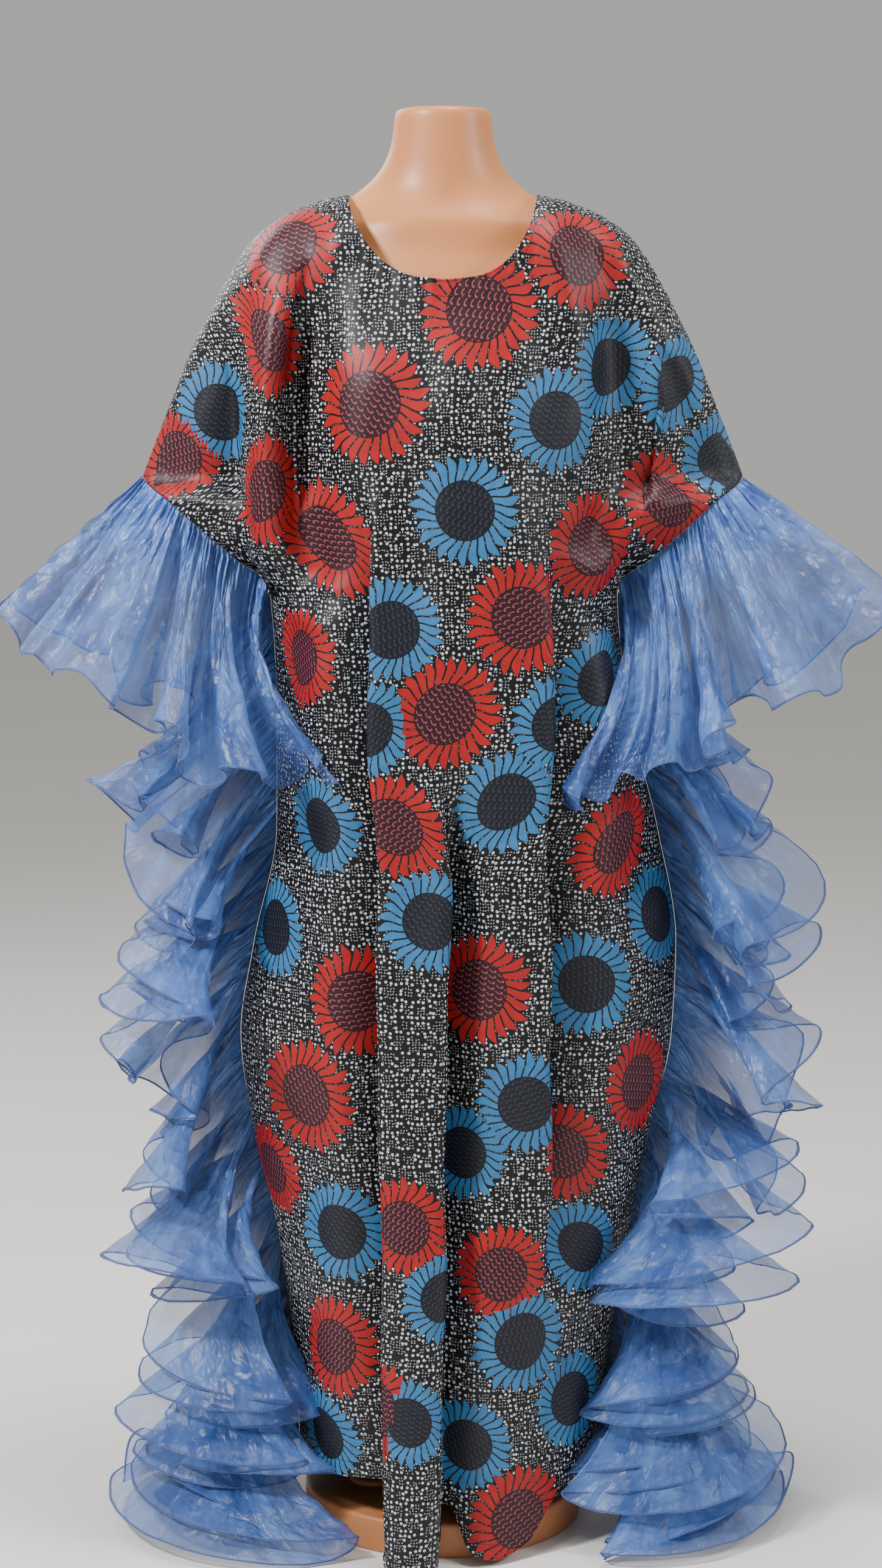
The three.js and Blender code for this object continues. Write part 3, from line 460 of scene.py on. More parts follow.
panels = {side: panel_points(side) for side in ("front", "back")}
print("panel grids:", {side: grid[2].shape[:2] for side, grid in panels.items()})

# %% [markdown]
# ## Giving the cloth its own ruler
#
# A print is stamped on flat cloth, so it has to be measured along the threads, not across the picture.
# We need a UV map in real metres. Blender's own unwrap would do, but it turns and scales its islands;
# measuring is easy here, because the grid already follows the threads. V is the height, plus what the
# cloth gains as it rolls over the shoulder. U is the length of the surface along a level line, from
# the middle outwards. Where a fold swallows cloth that line is long, and the print vanishes inside.

# %% Measure the cloth along its threads
ROUND_ENDS = 70.0  # the climb over the shoulder is measured from this far below it
CLIMB_STEPS = 24
LINE_STEP, MARK_STEP, WIDEST, TALLEST = 10.0, 1.0, 330.0, 1470


def sideways_ruler(side):
    """U at every mark of level lines: the length of the folded surface from the middle of the gown."""
    lines, marks = np.arange(0, TALLEST, LINE_STEP), np.arange(-WIDEST, WIDEST + 1, MARK_STEP)
    drawn = place(*np.meshgrid(marks, lines), side, fold_paths(side))
    steps = np.hypot(np.diff(drawn[..., 0]), np.diff(drawn[..., 1]))
    u = np.concatenate([np.zeros((len(lines), 1)), np.cumsum(steps, axis=1)], axis=1)
    return u - u[:, [len(marks) // 2]]


def cloth_ruler(xs, zs, side):
    climbs = np.linspace(0, 1, CLIMB_STEPS)
    foot = np.minimum(zs, arm_line(np.abs(xs)) - ROUND_ENDS)
    heights = foot[..., None] + (zs - foot)[..., None] * climbs
    depths = depth_at(np.broadcast_to(xs[..., None], heights.shape), heights, side)
    v = foot + np.hypot(np.diff(heights, axis=-1), np.diff(depths, axis=-1)).sum(axis=-1)
    rows = sideways_ruler(side)
    i = np.clip((zs / LINE_STEP).astype(int), 0, rows.shape[0] - 2)
    j = np.clip(((xs + WIDEST) / MARK_STEP).astype(int), 0, rows.shape[1] - 2)
    up, across = zs / LINE_STEP - i, (xs + WIDEST) / MARK_STEP - j
    below, above = (mix(rows[k, j], rows[k, j + 1], across) for k in (i, i + 1))
    return np.stack([mix(below, above, up), v], axis=-1) * MM


rulers = {side: cloth_ruler(xs, zs, side) for side, (xs, zs, _) in panels.items()}
for side, uv in rulers.items():
    print(side, "cut from", np.round(uv.min((0, 1)), 3), "to", np.round(uv.max((0, 1)), 3), "m")

# %% [markdown]
# ## Where the sunflowers fall
#
# The wax print scatters red and blue sunflowers over a dotted ground. Drawing the flowers one by one
# in the shader would need thousands of nodes. Instead each face of the cloth looks up its nearest
# flower, and a second UV map gives its place inside that flower, with 1 at the petal tips. The shader
# then draws one single flower, and every face shows its own part of it. The places in the front view
# are rough: they are moved on to the cloth by finding the point of the panel that hangs there.

# %% Lay out the flowers
RED, BLUE = 0.0, 1.0
BLOOM = 1.08  # how far the tips reach past the radius in the table
BACK_LEFT, BACK_TOP, BACK_ACROSS, BACK_DOWN = -270, 1385, 135, 152  # the back's rough grid
SHIFT_BY_COLUMN, SHIFT_BY_ROW, LIFT = (34, -26, 12, -38, 20), (16, -22, 6), (18, -12, 26, -20, 8)
BACK_RADII = (60, 54, 57)
FLOWERS = {
    "front": table(
        "x z kind radius turn",
        (-160, 1388, RED, 60, 0.1), (142, 1380, RED, 60, 0.9), (36, 1322, RED, 62, 1.7),
        (-176, 1290, RED, 58, 2.2), (-78, 1222, RED, 62, 0.5), (172, 1262, BLUE, 54, 1.1),
        (240, 1246, BLUE, 54, 2.6), (116, 1210, BLUE, 54, 0.3), (22, 1118, BLUE, 56, 1.9),
        (-190, 1132, RED, 58, 0.8), (-122, 1084, RED, 60, 2.9), (236, 1128, RED, 54, 1.4),
        (156, 1080, RED, 56, 0.2), (82, 1004, RED, 58, 2.4), (-50, 996, BLUE, 54, 1.2),
        (4, 908, RED, 58, 0.6), (-86, 890, BLUE, 52, 2.0), (118, 896, BLUE, 52, 2.8),
        (66, 814, BLUE, 54, 1.6), (-130, 786, BLUE, 52, 0.4), (186, 768, RED, 56, 1.0),
        (-52, 792, RED, 54, 2.3), (-184, 670, BLUE, 52, 1.5), (-12, 696, BLUE, 54, 0.7),
        (236, 684, BLUE, 54, 2.1), (38, 620, RED, 58, 0.1), (150, 618, BLUE, 56, 1.3),
        (-90, 606, RED, 58, 2.7), (-148, 498, RED, 60, 0.9), (210, 502, RED, 58, 1.8),
        (86, 500, BLUE, 54, 2.5), (20, 440, BLUE, 50, 0.3), (124, 440, RED, 54, 1.1),
        (-44, 376, RED, 50, 2.0), (-108, 352, BLUE, 54, 0.6), (-190, 402, RED, 50, 1.7),
        (2, 298, BLUE, 48, 2.2), (60, 314, RED, 52, 0.8), (84, 244, BLUE, 56, 1.5),
        (-72, 178, RED, 52, 2.9), (-36, 168, BLUE, 46, 0.2), (28, 132, BLUE, 50, 1.0),
        (82, 46, RED, 58, 2.4), (-130, 128, BLUE, 50, 0.5), (-232, 1214, BLUE, 54, 0.4),
        (-120, 230, RED, 54, 1.9), (140, 160, BLUE, 54, 2.6), (150, 330, BLUE, 52, 0.7),
        (-284, 1168, RED, 50, 1.3), (296, 1166, BLUE, 50, 2.2), (-150, 960, RED, 52, 1.1),
        (170, 940, BLUE, 52, 0.1),
    ),
    "back": table(
        "x z kind radius turn",
        *[
            (
                BACK_LEFT + BACK_ACROSS * column + SHIFT_BY_COLUMN[column] + SHIFT_BY_ROW[row % 3],
                BACK_TOP - BACK_DOWN * (row + column % 2 / 2) + LIFT[(row + column) % 5],
                float((row * 2 + column + row // 3) % 2),
                BACK_RADII[(row + 2 * column) % 3],
                0.9 * row + 1.7 * column,
            )
            for row in range(9)
            for column in range(5)
        ],
    ),
}
IN_FRONT, FRONT_WEIGHT = 200, 0.02  # where cloth lies over cloth, the outer layer is chosen


def nearest_flowers(side):
    """For each face: the flower's centre, size, turn and kind, on the cloth's own ruler."""
    points, uv = panels[side][2], rulers[side]
    face_uv = (uv[:-1, :-1] + uv[1:, :-1] + uv[:-1, 1:] + uv[1:, 1:]) / 4
    centres = []
    for flower in FLOWERS[side]:
        off = (points[..., 0] - flower["x"]) ** 2 + (points[..., 2] - flower["z"]) ** 2
        off = off + (points[..., 1] * (1 if side == "front" else -1) + IN_FRONT) ** 2 * FRONT_WEIGHT
        j, i = np.unravel_index(np.argmin(off), off.shape)
        centres.append((*uv[j, i], flower["radius"] * MM * BLOOM, flower["turn"], flower["kind"]))
    centres = np.array(centres)
    away = np.hypot(
        face_uv[..., 0, None] - centres[:, 0], face_uv[..., 1, None] - centres[:, 1]
    ) / centres[:, 2]
    return centres[np.argmin(away, axis=-1)]


chosen = {side: nearest_flowers(side) for side in panels}
print("flowers:", {side: len(rows) for side, rows in FLOWERS.items()})

# %% [markdown]
# ## From a grid to a mesh
#
# Every sheet of cloth here is a grid, so one function makes them all. It joins neighbours into quads,
# shades them smooth and writes the UV maps. The quads are written in the order that turns their fronts
# outwards, because cloth is lit from its outside.

# %% Make a cloth mesh from a grid
def grid_mesh(name, points, uv, flip, flowers=None):
    """points is a grid in millimetres, uv the same grid in metres of cloth, flowers one for a face."""
    rows, width = points.shape[:2]
    index = np.arange(rows * width).reshape(rows, width)
    a, b, c, d = index[:-1, :-1], index[:-1, 1:], index[1:, 1:], index[1:, :-1]
    order = (a, d, c, b) if flip else (a, b, c, d)
    quads = np.stack(order, axis=-1).reshape(-1, 4)
    mesh = bpy.data.meshes.new(name)
    mesh.from_pydata((points.reshape(-1, 3) * MM).tolist(), [], quads.tolist())
    smooth(mesh)
    corner_uv = uv.reshape(-1, 2)[quads.ravel()]
    layer = mesh.uv_layers.new(name="cloth")
    layer.data.foreach_set("uv", corner_uv.ravel().astype(np.float32))
    if flowers is not None:
        spot = np.repeat(flowers.reshape(-1, 5), 4, axis=0)
        off = (corner_uv - spot[:, :2]) / spot[:, 2:3]
        c, s = np.cos(spot[:, 3]), np.sin(spot[:, 3])
        turned = np.stack([off[:, 0] * c - off[:, 1] * s, off[:, 0] * s + off[:, 1] * c], -1)
        layer = mesh.uv_layers.new(name="flower")
        layer.data.foreach_set("uv", turned.ravel().astype(np.float32))
        kind = mesh.attributes.new("kind", "FLOAT", "CORNER")
        kind.data.foreach_set("value", spot[:, 4].astype(np.float32))
    mesh.update()
    return put(name, mesh)


def cloth_area(piece):
    return sum(face.area for face in piece.data.polygons)


print("flower rows written for each face:", chosen["front"].shape[-1], "numbers")

# %% [markdown]
# ## Mixing materials from nodes
#
# The next helper keeps the node code short. It adds a node, fills its inputs and links them: a number
# goes on the socket itself, anything else is another node's output. Each finish below is then a few
# lines that read like the recipe of the finish.

# %% A small bench for building node materials
class Bench:
    def __init__(self, name):
        self.material = bpy.data.materials.new(name)
        self.material.use_nodes = True
        self.tree = self.material.node_tree
        self.tree.nodes.clear()

    def add(self, kind, inputs=None, out=0, **settings):
        node = self.tree.nodes.new(kind)
        for key, value in settings.items():
            setattr(node, key, value)
        for key, value in (inputs or {}).items():
            self.feed(node.inputs[key], value)
        return node.outputs[out]

    def feed(self, socket, value):
        if isinstance(value, bpy.types.NodeSocket):
            self.tree.links.new(value, socket)
        else:
            socket.default_value = value

    def sum(self, operation, a, b=0.0, c=0.0, clamp=False):
        return self.add("ShaderNodeMath", {0: a, 1: b, 2: c}, operation=operation, use_clamp=clamp)

    def step(self, value, low, high):
        """0 below low and 1 above high, softly."""
        return self.add(
            "ShaderNodeMapRange",
            {"Value": value, "From Min": low, "From Max": high},
            interpolation_type="SMOOTHSTEP",
        )

    def blend(self, share, a, b):
        return self.add("ShaderNodeMix", {0: share, 6: a, 7: b}, out=2, data_type="RGBA")

    def uv(self, name):
        return self.add("ShaderNodeUVMap", uv_map=name)

    def scaled(self, vector, scale):
        return self.add("ShaderNodeMapping", {"Vector": vector, "Scale": scale})

    def offset(self, vector, arrows, share):
        """The vector moved by a share of the arrows."""
        moved = self.add("ShaderNodeVectorMath", {0: arrows, "Scale": share}, operation="SCALE")
        return self.add("ShaderNodeVectorMath", {0: vector, 1: moved}, operation="ADD")

    def cells(self, vector, scale, loose=1.0, **settings):
        return self.add(
            "ShaderNodeTexVoronoi",
            {"Vector": vector, "Scale": scale, "Randomness": loose},
            voronoi_dimensions="2D",
            **settings,
        )

    def noise(self, vector, scale, detail=2.0, out=0):
        return self.add(
            "ShaderNodeTexNoise", {"Vector": vector, "Scale": scale, "Detail": detail}, out=out
        )

    def bump(self, height, distance, strength=1.0, normal=None):
        inputs = {"Height": height, "Distance": distance, "Strength": strength}
        if normal is not None:
            inputs["Normal"] = normal
        return self.add("ShaderNodeBump", inputs)

    def finish(self, **sockets):
        shader = self.tree.nodes.new("ShaderNodeBsdfPrincipled")
        for key, value in sockets.items():
            self.feed(shader.inputs[key.replace("_", " ")], value)
        output = self.tree.nodes.new("ShaderNodeOutputMaterial")
        self.tree.links.new(shader.outputs[0], output.inputs[0])
        return self.material


def rgb(red, green, blue):
    """A colour as a paint chart gives it, from 0 to 255, turned into the light's own scale."""
    parts = [value / 255 for value in (red, green, blue)]
    return (*[p / 12.92 if p <= 0.04045 else ((p + 0.055) / 1.055) ** 2.4 for p in parts], 1.0)


print("a middle grey of 128 is", round(rgb(128, 128, 128)[0], 3), "of the light")

# %% [markdown]
# ## The wax print
#
# Two drawings lie one over the other. The ground is black, closely set with white dots: large dots in
# chains, and tiny ones filling the cells between the chains. A coarse Voronoi gives the cells. Each
# large dot asks how far its own centre is from the edge of a cell, and shows only if it is near, so no
# dot is ever cut in half. The flower has a disc with rows of little hooks, and a ring of wavy petals:
# the angle round the flower, bent in an S as it goes out, is cut into petals, each with its own length,
# a pointed tip and a black outline. The cloth itself is a smooth cotton with a faint calendered shine.

# %% Material of the printed cotton
PETALS = 27
DISC = 0.5  # the flower's disc, as a share of its radius
WANDER_SCALE, WANDER = 14, 0.007  # the rows of dots wander by this much, in metres
LARGE_DOT = dict(pitch=0.0056, radius=0.0015, loose=0.5)
TINY_DOT = dict(pitch=0.0031, radius=0.00072, loose=0.4)
DOT_EDGE = 0.0002
CELL, CELL_BORDER = 0.0175, 0.19  # large dots keep to the borders of cells of this size
PETAL_WAVE, PETAL_WAVES, PETAL_SWEEP = 0.0085, 10.5, 0.035
PETAL_LINE = 0.062  # the black line between petals
HOOK_WIDE, HOOK_HIGH, HOOK_RADIUS = 0.15, 0.1, 0.32  # the rows of hooks on the disc
BLACK = rgb(9, 9, 12)


def dots(bench, uv, test, pitch, radius, loose):
    """Round dots, shown near the borders of the coarse cells or away from them, as the test says."""
    spot = bench.cells(uv, 1 / pitch, loose).node.outputs
    border = bench.cells(spot["Position"], 1 / CELL, 0.8, feature="DISTANCE_TO_EDGE")
    outer, inner = (radius + DOT_EDGE) / pitch, (radius - DOT_EDGE) / pitch
    dot = bench.step(spot["Distance"], outer, inner)
    return bench.sum("MULTIPLY", dot, bench.sum(test, border, CELL_BORDER))


def dotted_ground(bench, uv):
    noise = bench.noise(uv, WANDER_SCALE, 1, out=1)
    either_way = bench.add(
        "ShaderNodeVectorMath", {0: noise, 1: (0.5, 0.5, 0.5)}, operation="SUBTRACT"
    )
    wandered = bench.offset(uv, either_way, WANDER)
    large = dots(bench, wandered, "LESS_THAN", **LARGE_DOT)
    tiny = dots(bench, wandered, "GREATER_THAN", **TINY_DOT)
    dotted = bench.sum("MAXIMUM", large, bench.sum("MULTIPLY", tiny, 0.65))
    return bench.blend(dotted, rgb(6, 6, 9), rgb(188, 190, 196))


def petal_masks(bench, place_in, kind):
    """How far out in the flower, and two masks: inside a petal, and inside its black line."""
    parts = bench.add("ShaderNodeSeparateXYZ", {0: place_in}).node.outputs
    reach = bench.add("ShaderNodeVectorMath", {0: place_in}, out=1, operation="LENGTH")
    angle = bench.sum("DIVIDE", bench.sum("ARCTAN2", parts["Y"], parts["X"]), 2 * math.pi)
    wave = bench.sum("SINE", bench.sum("MULTIPLY", reach, PETAL_WAVES))
    wave = bench.sum("MULTIPLY", wave, PETAL_WAVE)
    sweep = bench.sum("MULTIPLY", bench.sum("SUBTRACT", reach, DISC), PETAL_SWEEP)
    bent = bench.sum("ADD", bench.sum("ADD", angle, wave), sweep)
    petal = bench.sum("MULTIPLY", bent, float(PETALS))
    number = bench.sum("WRAP", bench.sum("FLOOR", petal), float(PETALS), 0.0)
    seed = bench.sum("ADD", number, bench.sum("MULTIPLY", kind, 41.0))
    chance = bench.add("ShaderNodeTexWhiteNoise", {"W": seed}, noise_dimensions="1D")
    tip = bench.sum("MULTIPLY_ADD", chance, 0.1, 0.94)
    aside = bench.sum("ABSOLUTE", bench.sum("SUBTRACT", bench.sum("FRACT", petal), 0.5))
    taper = bench.sum("POWER", bench.step(bench.sum("DIVIDE", reach, tip), 0.76, 1.03), 1.1)
    width = bench.sum("MULTIPLY", bench.sum("SUBTRACT", 1.0, taper), 0.5)
    line = bench.sum("DIVIDE", PETAL_LINE, bench.sum("MAXIMUM", reach, 0.3))
    inside = bench.step(bench.sum("SUBTRACT", width, aside), 0.0, 0.02)
    flesh = bench.sum("SUBTRACT", bench.sum("SUBTRACT", width, line), aside)
    return reach, inside, bench.step(flesh, 0.0, 0.02)


def hooks(bench, place_in, reach):
    """Hooks on the disc: the lower halves of small rings, in staggered columns."""
    parts = bench.add("ShaderNodeSeparateXYZ", {0: place_in}).node.outputs
    column = bench.sum("DIVIDE", parts["X"], HOOK_WIDE)
    odd = bench.sum("MULTIPLY", bench.sum("PINGPONG", bench.sum("FLOOR", column), 1.0), 0.5)
    row = bench.sum("ADD", bench.sum("DIVIDE", parts["Y"], HOOK_HIGH), odd)
    row = bench.sum("ADD", row, bench.sum("MULTIPLY", reach, 0.6))
    across = bench.sum("SUBTRACT", bench.sum("FRACT", column), 0.5)
    up = bench.sum("SUBTRACT", bench.sum("FRACT", row), 0.55)
    lean = bench.sum("MULTIPLY_ADD", up, 0.45, across)
    squares = bench.sum("ADD", bench.sum("MULTIPLY", lean, lean), bench.sum("MULTIPLY", up, up))
    ring = bench.sum("ABSOLUTE", bench.sum("SUBTRACT", bench.sum("SQRT", squares), HOOK_RADIUS))
    return bench.sum("MULTIPLY", bench.step(ring, 0.13, 0.07), bench.step(up, 0.12, -0.02))


def weave_bump(bench, uv):
    warp = bench.add("ShaderNodeTexWave", {"Vector": uv, "Scale": 260.0}, out=1)
    weft = bench.add(
        "ShaderNodeTexWave", {"Vector": uv, "Scale": 260.0}, out=1, bands_direction="Y"
    )
    normal = bench.bump(bench.noise(uv, 26, 4), 0.0016, 0.6)
    return bench.bump(bench.sum("ADD", warp, weft), 0.00005, 0.5, normal)


def printed_cotton():
    bench = Bench("printed_cotton")
    uv, bloom = bench.uv("cloth"), bench.uv("flower")
    kind = bench.add("ShaderNodeAttribute", out=2, attribute_name="kind")
    reach, inside, flesh = petal_masks(bench, bloom, kind)
    hook = hooks(bench, bloom, reach)

    shade = bench.noise(uv, 90, 3)
    red = bench.blend(shade, rgb(140, 15, 18), rgb(172, 28, 28))
    blue = bench.blend(shade, rgb(32, 88, 138), rgb(56, 124, 174))
    disc_red = bench.blend(hook, rgb(40, 12, 20), rgb(136, 60, 72))
    disc_blue = bench.blend(hook, rgb(10, 14, 26), rgb(44, 46, 56))

    colour = bench.blend(inside, dotted_ground(bench, uv), BLACK)
    colour = bench.blend(flesh, colour, bench.blend(kind, red, blue))
    colour = bench.blend(bench.step(reach, DISC + 0.02, DISC + 0.005), colour, BLACK)
    disc = bench.blend(kind, disc_red, disc_blue)
    colour = bench.blend(bench.step(reach, DISC, DISC - 0.012), colour, disc)
    normal = weave_bump(bench, uv)
    rough = bench.sum("MULTIPLY_ADD", bench.noise(uv, 60, 2), 0.16, 0.43)
    return bench.finish(Base_Color=colour, Roughness=rough, Normal=normal, Specular_IOR_Level=0.34)


cotton = printed_cotton()
print("printed cotton:", len(cotton.node_tree.nodes), "nodes")

# %% [markdown]
# ## The two panels
#
# Everything is ready for the gown itself: where the cloth hangs, where its threads run, which flower
# each face shows, and what the print looks like. The front and the back are two separate pieces of
# cloth that meet at the seams, as they are cut. Cloth simulated from flat pieces would also do, but it
# would lose the hang that the solids have. The area that is printed here should come close to the area
# of the cut cloth, which is a good test of the folds.

# %% Cut the two panels of the gown
gown_pieces = {}
for side in ("front", "back"):
    points, uv = panels[side][2], rulers[side]
    piece = grid_mesh(f"gown_{side}_cloth", points, uv, side == "front", chosen[side])
    piece.data.materials.append(cotton)
    gown_pieces[side] = piece
    print(piece.name, len(piece.data.polygons), "faces,", round(cloth_area(piece), 3), "m2")

# %% [markdown]
# ## Turned edges
#
# The neck and the hem are turned: the cut edge is folded to the inside and sewn down, so what shows is
# a soft rounded fold. A narrow strip along the edge does this. It starts just outside the cloth, rolls
# over the edge and ends a finger's breadth down on the inside, and it keeps the cloth's own ruler, so
# the print runs on over the fold.

# %% Turn the neck and the hem
# The strip's section: how far into the cloth from its edge, and how far outwards.
ROLL = ((1.6, 0.25), (0.4, 0.5), (-0.5, 0.1), (-0.6, -0.7), (0.2, -1.5), (3.0, -1.9), (12.0, -2.1))
INNER_ROWS = 3  # the way into the cloth is read this many rows from its edge


def turned_edge(name, side, row, columns, sign):
    """row is the panel's edge row; sign is +1 where the cloth lies below it and -1 where above."""
    points, uv = panels[side][2], rulers[side]
    edge = points[row, columns]
    into = unit(points[row + sign * INNER_ROWS, columns] - edge)
    out = np.cross(unit(np.gradient(edge, axis=0)), into)
    out *= np.sign(out[:, 1:2] * (-1 if side == "front" else 1))
    strip = np.stack([edge + into * a + out * b for a, b in ROLL])
    travel = np.array([a for a, _ in ROLL])
    ruler = np.repeat(uv[row, columns][None], len(ROLL), axis=0)
    ruler[..., 1] += (-sign * travel * MM)[:, None]
    nearest = np.minimum(columns[:-1], chosen[side].shape[1] - 1)
    flowers = chosen[side][0 if row == 0 else -1, nearest]
    faces = np.repeat(flowers[None], len(ROLL) - 1, axis=0)
    piece = grid_mesh(name, strip, ruler, (side == "front") != (sign > 0), faces)
    piece.data.materials.append(cotton)
    return piece


edges = []
for side in ("front", "back"):
    xs = panels[side][0]
    at_neck = np.where(np.abs(xs[0]) <= NECK_HALF_WIDTH + 0.5)[0]
    at_hem = np.arange(xs.shape[1])
    edges.append(turned_edge(f"neck_edge_{side}", side, 0, at_neck, 1))
    edges.append(turned_edge(f"hem_edge_{side}", side, xs.shape[0] - 1, at_hem, -1))
print("turned edges:", [edge.name for edge in edges])

# %% [markdown]
# ## Ruffles of organza
#
# A ruffle is a straight strip, two or three times as long as the seam it is gathered into. At the seam
# it is bunched in fine pleats, and because its free edge is longer than it has room for, that edge has
# to swing from side to side in waves. Every thread of the strip is an arc: it leaves the seam at some
# angle and curls on. We let the angle swing like a pendulum along the seam, in the same waves as the
# solids, and then lay two finer sizes of wave over it: lobes at the free edge, and gathers at the seam.
# A row of the tables is the height where a wave begins, how deep the ruffle is there, in millimetres,
# and how far its threads turn to the front and to the back and droop, in degrees.

# %% Tables of the ruffles
FRONT_SAG = 0.08  # a thread that swings to the front hangs this much steeper
SWING_TURN, SWING_CURL = 0.48, 0.8  # how the swing is shared between the seam and the curl
FLOOR_CLEAR = 3.0
SIDE = {
    -1: table(
        "z deep front back droop",
        (1024, 176, 8, 8, 50), (962, 196, 26, 22, 46), (862, 222, 62, 46, 38), (758, 226, 68, 60, 36),
        (664, 202, 58, 60, 43), (560, 190, 62, 62, 46), (462, 204, 80, 66, 46), (362, 220, 116, 74, 44),
        (262, 230, 134, 84, 42), (160, 228, 126, 70, 33), (78, 212, 90, 20, 18),
    ),
    1: table(
        "z deep front back droop",
        (1024, 176, 8, 8, 50), (956, 200, 26, 22, 46), (852, 238, 64, 48, 35), (744, 204, 58, 58, 40),
        (652, 190, 56, 60, 44), (548, 212, 60, 60, 40), (446, 206, 104, 66, 43), (346, 214, 130, 74, 45),
        (250, 226, 132, 82, 42), (156, 228, 128, 70, 33), (78, 212, 90, 20, 18),
    ),
}
# Down the mouth from the sleeve's corner to the underarm, in shares of the way. turn, curl and fall
# are in degrees, deep and wave in millimetres.
MOUTH = table(
    "at turn curl fall deep wave",
    (0, 6, 0, 43, 214, 18), (0.25, 34, 0, 60, 222, 22), (0.55, 62, 0, 72, 232, 24),
    (0.85, 66, 86, 59, 256, 16), (1, 62, 124, 52, 268, 10),
)
MOUTH_WAVES, MOUTH_FROM, MOUTH_TO = 4.5, 0.004, 0.99  # waves, and the part of the mouth they take
MOUTH_RUN = 134  # the mouth's width in the front view
WAVE_REST, WAVE_GROWTH = 0.6, 1.15  # the waves' middle, lifted, and how they grow down the threads
EDGE_RIPPLE = 6
START_FRONT, START_BACK = 0.2, 1.1  # where the waves begin, in radians
SIDE_GAP, MOUTH_GAP = 0.5, 0.9  # the ruffles start this far outside the seams
CRUMPLE_HIGH, CRUMPLE_WAVE, CRUMPLE_DENTS = 4.0, 95.0, 9

print("waves of each side ruffle:", len(SIDE[1]) - 1)

# %% [markdown]
# ## Bending threads and crumpling cloth
#
# These helpers are shared by all ruffles. `threads_of` bends every thread into its arc. `drift` and
# `rough_waves` make waves that are never quite the same twice, as cloth does, from a few sines of
# nearby pitches. `crumple` dents the cloth with waves that run through space in all directions.
# `strip_ruler` measures the finished strip along its free edge and down its threads. A cloth
# simulation gives richer crumple, but it takes minutes and is hard to steer to the solids' waves.

# %% Helpers for gathered strips
NEARLY_STRAIGHT = 1e-4  # in radians


def threads_of(start, side, length, turn, curl, fall, shares):
    """Arcs from the points in start; the other values are one for each thread, angles in radians."""
    s = shares[:, None]
    run = length * np.cos(fall)
    bend = np.where(np.abs(curl) < NEARLY_STRAIGHT, NEARLY_STRAIGHT, curl)
    ahead = (np.sin(turn + bend * s) - np.sin(turn)) / bend
    aside = (np.cos(turn) - np.cos(turn + bend * s)) / bend
    x = start[:, 0] + side * run * ahead
    y = start[:, 1] - run * aside
    z = start[:, 2] - length * np.sin(fall) * s
    return np.stack([x, y, z], axis=-1)


def rough_waves(t, terms, seed):
    """Uneven waves along the strip: sines of nearby pitches drift in and out of step."""
    draw = np.random.default_rng(seed)
    total = np.zeros_like(t)
    for pitch, high in terms:
        for shift in (0.86, 1.0, 1.17):
            total += high / 2 * np.sin(2 * math.pi * pitch * shift * t + draw.uniform(0, 6.28))
    return total


def drift(t, pitch, seed):
    """A slow uneven wave between about -1 and 1."""
    return rough_waves(t, [(pitch, 0.7), (pitch * 0.43, 0.6)], seed)


def crumple(points, seed, high, wavelength):
    """Soft dents in all directions, as stiff cloth keeps them: waves through space, seen on the strip."""
    draw = np.random.default_rng(seed)
    dents = np.zeros(points.shape[:2])
    for _ in range(CRUMPLE_DENTS):
        way = draw.normal(size=3)
        way *= 2 * math.pi / (wavelength * draw.uniform(0.7, 1.5) * np.linalg.norm(way))
        dents += np.abs(np.sin(points @ way + draw.uniform(0, 6.28))) - 0.64
    return dents * high / 3


def ruffle_surface(points, t, shares, seed, lobes, gathers):
    """Lays lobes, gathers and dents over a swept strip, each along the strip's own normal."""
    du, ds = np.gradient(points, axis=1), np.gradient(points, axis=0)
    normal = unit(np.cross(du, ds))
    s = shares[:, None]
    free = rough_waves(t, lobes, seed)[None] * s**1.6
    middle = rough_waves(t, [(pitch * 1.9, high * 0.34) for pitch, high in lobes], seed + 1)
    middle = middle[None] * (s * (1.2 - s) * 2.4)
    fine = rough_waves(t, gathers, seed + 2)[None] * np.exp(-s / 0.22) * ease(s / 0.03)
    dents = crumple(points, seed + 3, CRUMPLE_HIGH, CRUMPLE_WAVE) * ease(s / 0.25)
    return points + normal * (free + middle + fine + dents)[..., None]


def strip_ruler(points):
    along = np.linalg.norm(np.diff(points, axis=1), axis=-1)
    u = np.concatenate([[0.0], np.cumsum(along[-1])])
    down = np.linalg.norm(np.diff(points, axis=0), axis=-1).mean(axis=1)
    v = np.concatenate([[0.0], np.cumsum(down)])
    return np.stack(np.broadcast_arrays(u[None], v[:, None]), axis=-1) * MM


SHARES = np.linspace(0, 1, 46) ** 0.92  # places down a thread, a little closer near the free edge
print("points down each thread:", len(SHARES))

# %% [markdown]
# ## The side ruffles
#
# One strip runs down each side, from the underarm to the hem. Seen from the front it stands out like a
# frill, and its waves swing in turn to the front and to the back. A second, narrower strip hangs from
# the same seam, half a wave behind, so that it shows between the waves of the first. One strip of such
# sheer cloth looks thin, and two give the deeper blue near the seam. Whether a maker used a second
# strip here is a guess. Both come from the same function.

# %% Sweep the side ruffles
SIDE_FINE, INNER_FINE = 76, 48  # columns for each wave
INNER_SEED, INNER_SHARE, INNER_BEHIND = 200, 0.8, 0.5
SIDE_LOBES, SIDE_GATHERS = [(1.6, 24.0), (3.3, 8.0)], [(9.0, 3.0), (14.0, 1.6)]  # pitch and height


